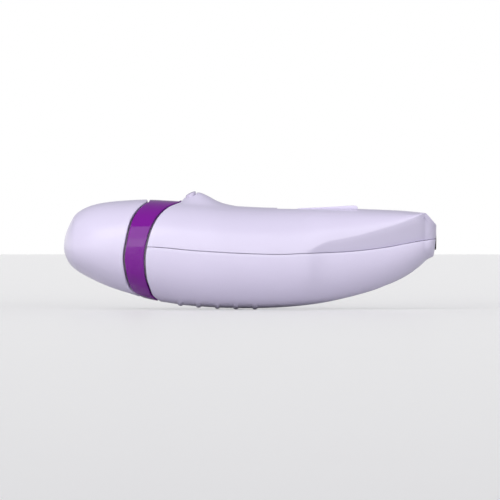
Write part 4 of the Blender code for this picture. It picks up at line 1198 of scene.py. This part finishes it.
class EPILATOR_OT_slider(bpy.types.Operator):
    """Model the wedge-shaped thumb slide and dress the switch under it"""
    bl_idname = "epilator.slider"
    bl_label = "Thumb Slide"

    def execute(self, context):
        x0, x1 = KNOB_X
        top = through([
            (x0, 44.5), (x0 + 1.2, 44.85), (x0 + 4.0, 45.0), (x0 + 12.0, 45.35), (x1 - 5.0, 45.95),
            (x1 - 2.0, 46.1), (x1 - 0.8, 46.0), (x1, 45.3)])
        places = stepped((x0, x0 + 4.0, 6), (x0 + 4.0, x1 - 5.0, 16), (x1 - 5.0, x1, 12))
        outline = [(x1, KNOB_LOW_Z), (x0, KNOB_LOW_Z)] + [(x, top(x)) for x in places]
        knob = plate_piece("thumb_slide", outline, "Y", -KNOB_HALF_Y, 2 * KNOB_HALF_Y)
        round_edges(knob, 0.35, 50.0, 3)
        stem_high = (STEM_X + STEM_HALF_X, 2.5, 44.7)
        join(knob, box_piece("stem", (STEM_X - STEM_HALF_X, -2.5, 42.5), stem_high))
        smooth(knob, 40.0)
        finish_piece(knob, finish("pearl"), "switch", "pearl_shell", "switch_knob")
        softened("switch_carriage", finish("dark"), "switch", "dark_plastic", 0.2)
        softened("switch_body", finish("dark"), "housing", "dark_plastic", 0.25)
        return {"FINISHED"}


class EPILATOR_OT_inlet(bpy.types.Operator):
    """Model the power inlet in the tail and its two pins"""
    bl_idname = "epilator.inlet"
    bl_label = "Power Inlet"

    def execute(self, context):
        body = socket_slot("inlet_body", SOCKET_LONG, SOCKET_HIGH, SOCKET_START_X, TAIL_X - SOCKET_START_X)
        cut(body, socket_slot("recess", SOCKET_LONG - 3.0, SOCKET_HIGH - 3.0, SOCKET_RECESS_X, 12.0))
        for side in (-1, 1):
            cut(body, rod_piece("pin_hole", "X", (71.0, side * SOCKET_PIN_Y, SOCKET_Z), 6.0, PIN_HOLE_R))
        round_edges(body, 0.25, 60.0)
        smooth(body)
        finish_piece(body, finish("dark"), "housing", "dark_plastic", "socket_body")
        for k, side in enumerate((-1, 1)):
            place = (PIN_X, side * SOCKET_PIN_Y, SOCKET_Z)
            pin = turned_piece(f"inlet_pin_{k + 1}", "X", place, PIN_OUTLINE, 32)
            smooth(pin)
            finish_piece(pin, finish("brass"), "housing", "brass", f"socket_pin_{k + 1}")
        return {"FINISHED"}


# ---------------------------------------------------------------- head

class EPILATOR_OT_head(bpy.types.Operator):
    """Model the shroud round the discs and dress the head's frame, axle and bushes"""
    bl_idname = "epilator.head"
    bl_label = "Head Shroud and Frame"

    def execute(self, context):
        stop = SHROUD_X - SHROUD_SHIFT
        shares = [u * u for u in even(30)]
        rows = band(lambda t: NOSE_X + 0.3, lambda t: stop, full_turns(), shares, SHROUD_INSET)
        rows = [[(x + SHROUD_SHIFT, y, z) for x, y, z in row] for row in rows]
        rows = [row for row in rows if row[0][0] > SHROUD_FRONT_X + 1.2]
        mouth = rows[0]
        for scale, shift in SHROUD_NOSE:
            row = []
            for x, y, z in mouth:
                high = SHROUD_MIDDLE_Z + (z - SHROUD_MIDDLE_Z) * scale
                row.append((SHROUD_FRONT_X + shift, y * scale, high))
            rows.insert(0, row)
        shroud = round_wall("head_cover", rows, sizes().shroud_wall, 0.3, False)
        low = (AXIS_Z - WINDOW_HALF_Z, -WINDOW_HALF_Y)
        high = (AXIS_Z + WINDOW_HALF_Z, WINDOW_HALF_Y)
        outline = [(y, z) for z, y in rounded_box_outline(low, high, WINDOW_CORNER)]
        cut(shroud, plate_piece("window", outline, "X", -82.0, 20.0), use_self=True)
        smooth(shroud, 30.0)
        finish_piece(shroud, finish("white"), "head", "white_frame", "head_shroud")
        dress(finish("white"), "head_frame")
        axle_low = -ARM_HIGH_Y - 0.2
        outline = mirrored([(0.0, axle_low), (AXLE_R - 0.3, axle_low), (AXLE_R, axle_low + 0.3)])
        axle = turned_piece("drum_axle", "Y", (DRUM_X, 0, AXIS_Z), outline)
        smooth(axle)
        finish_piece(axle, finish("steel"), "head", "steel", "disc_axle")
        dress(finish("brass"), "axle_bush_left", "axle_bush_right")
        return {"FINISHED"}


class EPILATOR_OT_discs(bpy.types.Operator):
    """Model the row of tweezer discs and dress their hub and gear"""
    bl_idname = "epilator.discs"
    bl_label = "Tweezer Discs"

    def execute(self, context):
        edge = DISC_THICK / 2
        inner = HUB_R + 0.1
        outline = mirrored([
            (inner, -edge), (DISC_R - 3.2, -edge), (DISC_R - 2.6, -edge * 0.7), (DISC_R - 1.2, -edge * 0.7),
            (DISC_R - 0.7, -edge), (DISC_R - 0.15, -edge), (DISC_R, -edge * 0.5)])
        first = turned_piece("disc_01", "Y", (DRUM_X, DISC_FIRST_Y, AXIS_Z), outline, 72)
        smooth(first, 20.0)
        discs = [first]
        for k in range(1, DISC_COUNT):
            copy = first.copy()
            copy.data = first.data.copy()
            copy.data.transform(Matrix.Translation((0, k * DISC_PITCH * MM, 0)))
            copy.name = f"disc_{k + 1:02d}"
            context.scene.collection.objects.link(copy)
            discs.append(copy)
        for k, disc in enumerate(discs):
            finish_piece(disc, finish("disc"), "drum", "steel", f"tweezer_disc_{k + 1:02d}")
        outline = mirrored([(AXLE_R + 0.1, -HUB_HALF), (HUB_R - 0.3, -HUB_HALF), (HUB_R, -HUB_HALF + 0.3)])
        hub = turned_piece("drum_hub", "Y", (DRUM_X, 0, AXIS_Z), outline)
        smooth(hub)
        finish_piece(hub, finish("acetal"), "drum", "acetal", "disc_hub")
        dress(finish("acetal"), "drum_gear")
        return {"FINISHED"}


# ---------------------------------------------------------------- works

class EPILATOR_OT_gears(bpy.types.Operator):
    """Dress the gear train between the motor and the drum"""
    bl_idname = "epilator.gears"
    bl_label = "Gear Train"

    def execute(self, context):
        dress(finish("acetal"), "crown_gear", "crown_hub", "spur_pinion", "drive_gear")
        dress(finish("brass"), "motor_pinion")
        dress(finish("steel"), "crown_axle", "drive_axle")
        return {"FINISHED"}


class EPILATOR_OT_motor(bpy.types.Operator):
    """Model the motor's can and dress its cap, magnets, shaft and windings"""
    bl_idname = "epilator.motor"
    bl_label = "Motor"

    def execute(self, context):
        softened("motor_can", finish("steel"), "housing", "steel", 0.5, 60.0)
        softened("motor_end_cap", finish("dark"), "housing", "dark_plastic", 0.3, 60.0)
        dress(finish("magnet"), "magnet_1", "magnet_2")
        dress(finish("steel"), "motor_shaft")
        dress(finish("copper"), "armature")
        return {"FINISHED"}


class EPILATOR_OT_chassis(bpy.types.Operator):
    """Dress the neck collar, the gear chassis and the screws"""
    bl_idname = "epilator.chassis"
    bl_label = "Chassis and Screws"

    def execute(self, context):
        dress(finish("white"), "neck_collar", "gear_chassis")
        screws = ["collar_screw_1", "collar_screw_2", "chassis_screw_1", "chassis_screw_2", "shell_screw",
                  "motor_screw_1", "motor_screw_2"]
        for name in screws:
            softened(name, finish("steel"), "housing", "steel", 0.12)
        return {"FINISHED"}


class EPILATOR_OT_electrics(bpy.types.Operator):
    """Dress the circuit board, its capacitor and the four wires"""
    bl_idname = "epilator.electrics"
    bl_label = "Electrics"

    def execute(self, context):
        softened("circuit_board", finish("board"), "housing", "board", 0.12)
        softened("capacitor", finish("dark"), "housing", "dark_plastic", 0.4)
        dress(finish("red"), "motor_wire_red", "socket_wire_red")
        dress(finish("black"), "motor_wire_black", "socket_wire_black")
        return {"FINISHED"}


# ---------------------------------------------------------------- stage

class EPILATOR_OT_stage(bpy.types.Operator):
    """Set the floor, the soft studio light and the camera"""
    bl_idname = "epilator.stage"
    bl_label = "Studio Stage"

    def execute(self, context):
        deselect()
        bpy.ops.mesh.primitive_plane_add(size=FLOOR_SIZE, location=(0, 0, 0))
        floor = bpy.context.object
        floor.name = "studio_floor"
        material, nodes, links, shader = new_material("studio_floor_paper")
        tone = object_noise(nodes, links, 60.0)
        links.new(tinted(nodes, links, tone, tuple(colours().backdrop), 0.99), shader.inputs["Base Color"])
        set_inputs(shader, Roughness=0.3, Sheen_Weight=1.0, Sheen_Roughness=0.2)
        floor.data.materials.append(material)
        self.sky()
        self.key()
        self.softbox()
        self.camera()
        context.scene.view_settings.view_transform = "Standard"
        return {"FINISHED"}

    def key(self):
        """A broad soft light from the front, above and a little towards the nose."""
        deselect()
        bpy.ops.object.light_add(type="SUN", location=(0, -1, 1))
        lamp = bpy.context.object
        lamp.name = "key_light"
        lamp.data.energy = KEY_STRENGTH
        lamp.data.angle = math.radians(KEY_SPREAD)
        lamp.data.color = KEY_COLOUR
        aim = Vector(KEY_FROM)
        lamp.rotation_euler = aim.to_track_quat("Z", "Y").to_euler()
        lamp.visible_glossy = False

    def softbox(self):
        """A large softbox in front that shows only as a reflection in the gloss."""
        deselect()
        bpy.ops.object.light_add(type="AREA", location=SOFTBOX_PLACE, rotation=(math.pi / 2, 0, 0))
        lamp = bpy.context.object
        lamp.name = "front_softbox"
        lamp.data.shape = "RECTANGLE"
        lamp.data.size, lamp.data.size_y = SOFTBOX_SIZE
        lamp.data.energy = SOFTBOX_WATTS
        lamp.visible_diffuse = False
        lamp.visible_camera = False

    def sky(self):
        """Even light all round, with a paler horizon."""
        world = bpy.data.worlds.new("soft_studio")
        world.use_nodes = True
        nodes, links = world.node_tree.nodes, world.node_tree.links
        direction = nodes.new("ShaderNodeTexCoord")
        split = nodes.new("ShaderNodeSeparateXYZ")
        links.new(direction.outputs["Generated"], split.inputs["Vector"])
        ramp = nodes.new("ShaderNodeValToRGB")
        ramp.color_ramp.elements[0].position = 0.11
        ramp.color_ramp.elements[0].color = (*HORIZON, 1.0)
        ramp.color_ramp.elements[1].position = 1.0
        ramp.color_ramp.elements[1].color = (*ZENITH, 1.0)
        middle = ramp.color_ramp.elements.new(0.27)
        middle.color = (*MID_SKY, 1.0)
        links.new(split.outputs["Z"], ramp.inputs["Fac"])
        links.new(ramp.outputs["Color"], nodes["Background"].inputs["Color"])
        nodes["Background"].inputs["Strength"].default_value = 1.0
        bpy.context.scene.world = world

    def camera(self):
        deselect()
        bpy.ops.object.camera_add(
            location=(0, -CAMERA_DISTANCE * MM, CAMERA_Z * MM), rotation=(math.pi / 2, 0, 0))
        camera = bpy.context.object
        camera.name = "side_camera"
        camera.data.sensor_width = SENSOR_MM
        camera.data.lens = SENSOR_MM * CAMERA_DISTANCE / VIEW_WIDTH
        camera.data.clip_end = 100.0
        bpy.context.scene.camera = camera


# ---------------------------------------------------------------- add-on

PIECES = (
    EPILATOR_OT_cap, EPILATOR_OT_ring, EPILATOR_OT_upper_shell, EPILATOR_OT_lower_shell,
    EPILATOR_OT_release, EPILATOR_OT_slider, EPILATOR_OT_inlet, EPILATOR_OT_head, EPILATOR_OT_discs,
    EPILATOR_OT_gears, EPILATOR_OT_motor, EPILATOR_OT_chassis, EPILATOR_OT_electrics, EPILATOR_OT_stage)


class EPILATOR_PT_looks(bpy.types.Panel):
    """Sizes, colours and one button for each piece"""
    bl_label = "Epilator"
    bl_idname = "EPILATOR_PT_looks"
    bl_space_type = "VIEW_3D"
    bl_region_type = "UI"
    bl_category = "Epilator"

    def draw(self, context):
        for group in (context.scene.epilator_sizes, context.scene.epilator_colours):
            column = self.layout.column()
            for name in group.__annotations__:
                column.prop(group, name)
        column = self.layout.column()
        for operator in PIECES:
            column.operator(operator.bl_idname)


CLASSES = (EpilatorSizes, EpilatorColours) + PIECES + (EPILATOR_PT_looks,)


def register():
    for item in CLASSES:
        bpy.utils.register_class(item)
    bpy.types.Scene.epilator_sizes = bpy.props.PointerProperty(type=EpilatorSizes)
    bpy.types.Scene.epilator_colours = bpy.props.PointerProperty(type=EpilatorColours)


def unregister():
    del bpy.types.Scene.epilator_colours
    del bpy.types.Scene.epilator_sizes
    for item in reversed(CLASSES):
        bpy.utils.unregister_class(item)


def main():
    register()
    bpy.ops.epilator.cap()
    bpy.ops.epilator.ring()
    bpy.ops.epilator.upper_shell()
    bpy.ops.epilator.lower_shell()
    bpy.ops.epilator.release()
    bpy.ops.epilator.slider()
    bpy.ops.epilator.inlet()
    bpy.ops.epilator.head()
    bpy.ops.epilator.discs()
    bpy.ops.epilator.gears()
    bpy.ops.epilator.motor()
    bpy.ops.epilator.chassis()
    bpy.ops.epilator.electrics()
    bpy.ops.epilator.stage()


if __name__ == "__main__":
    main()
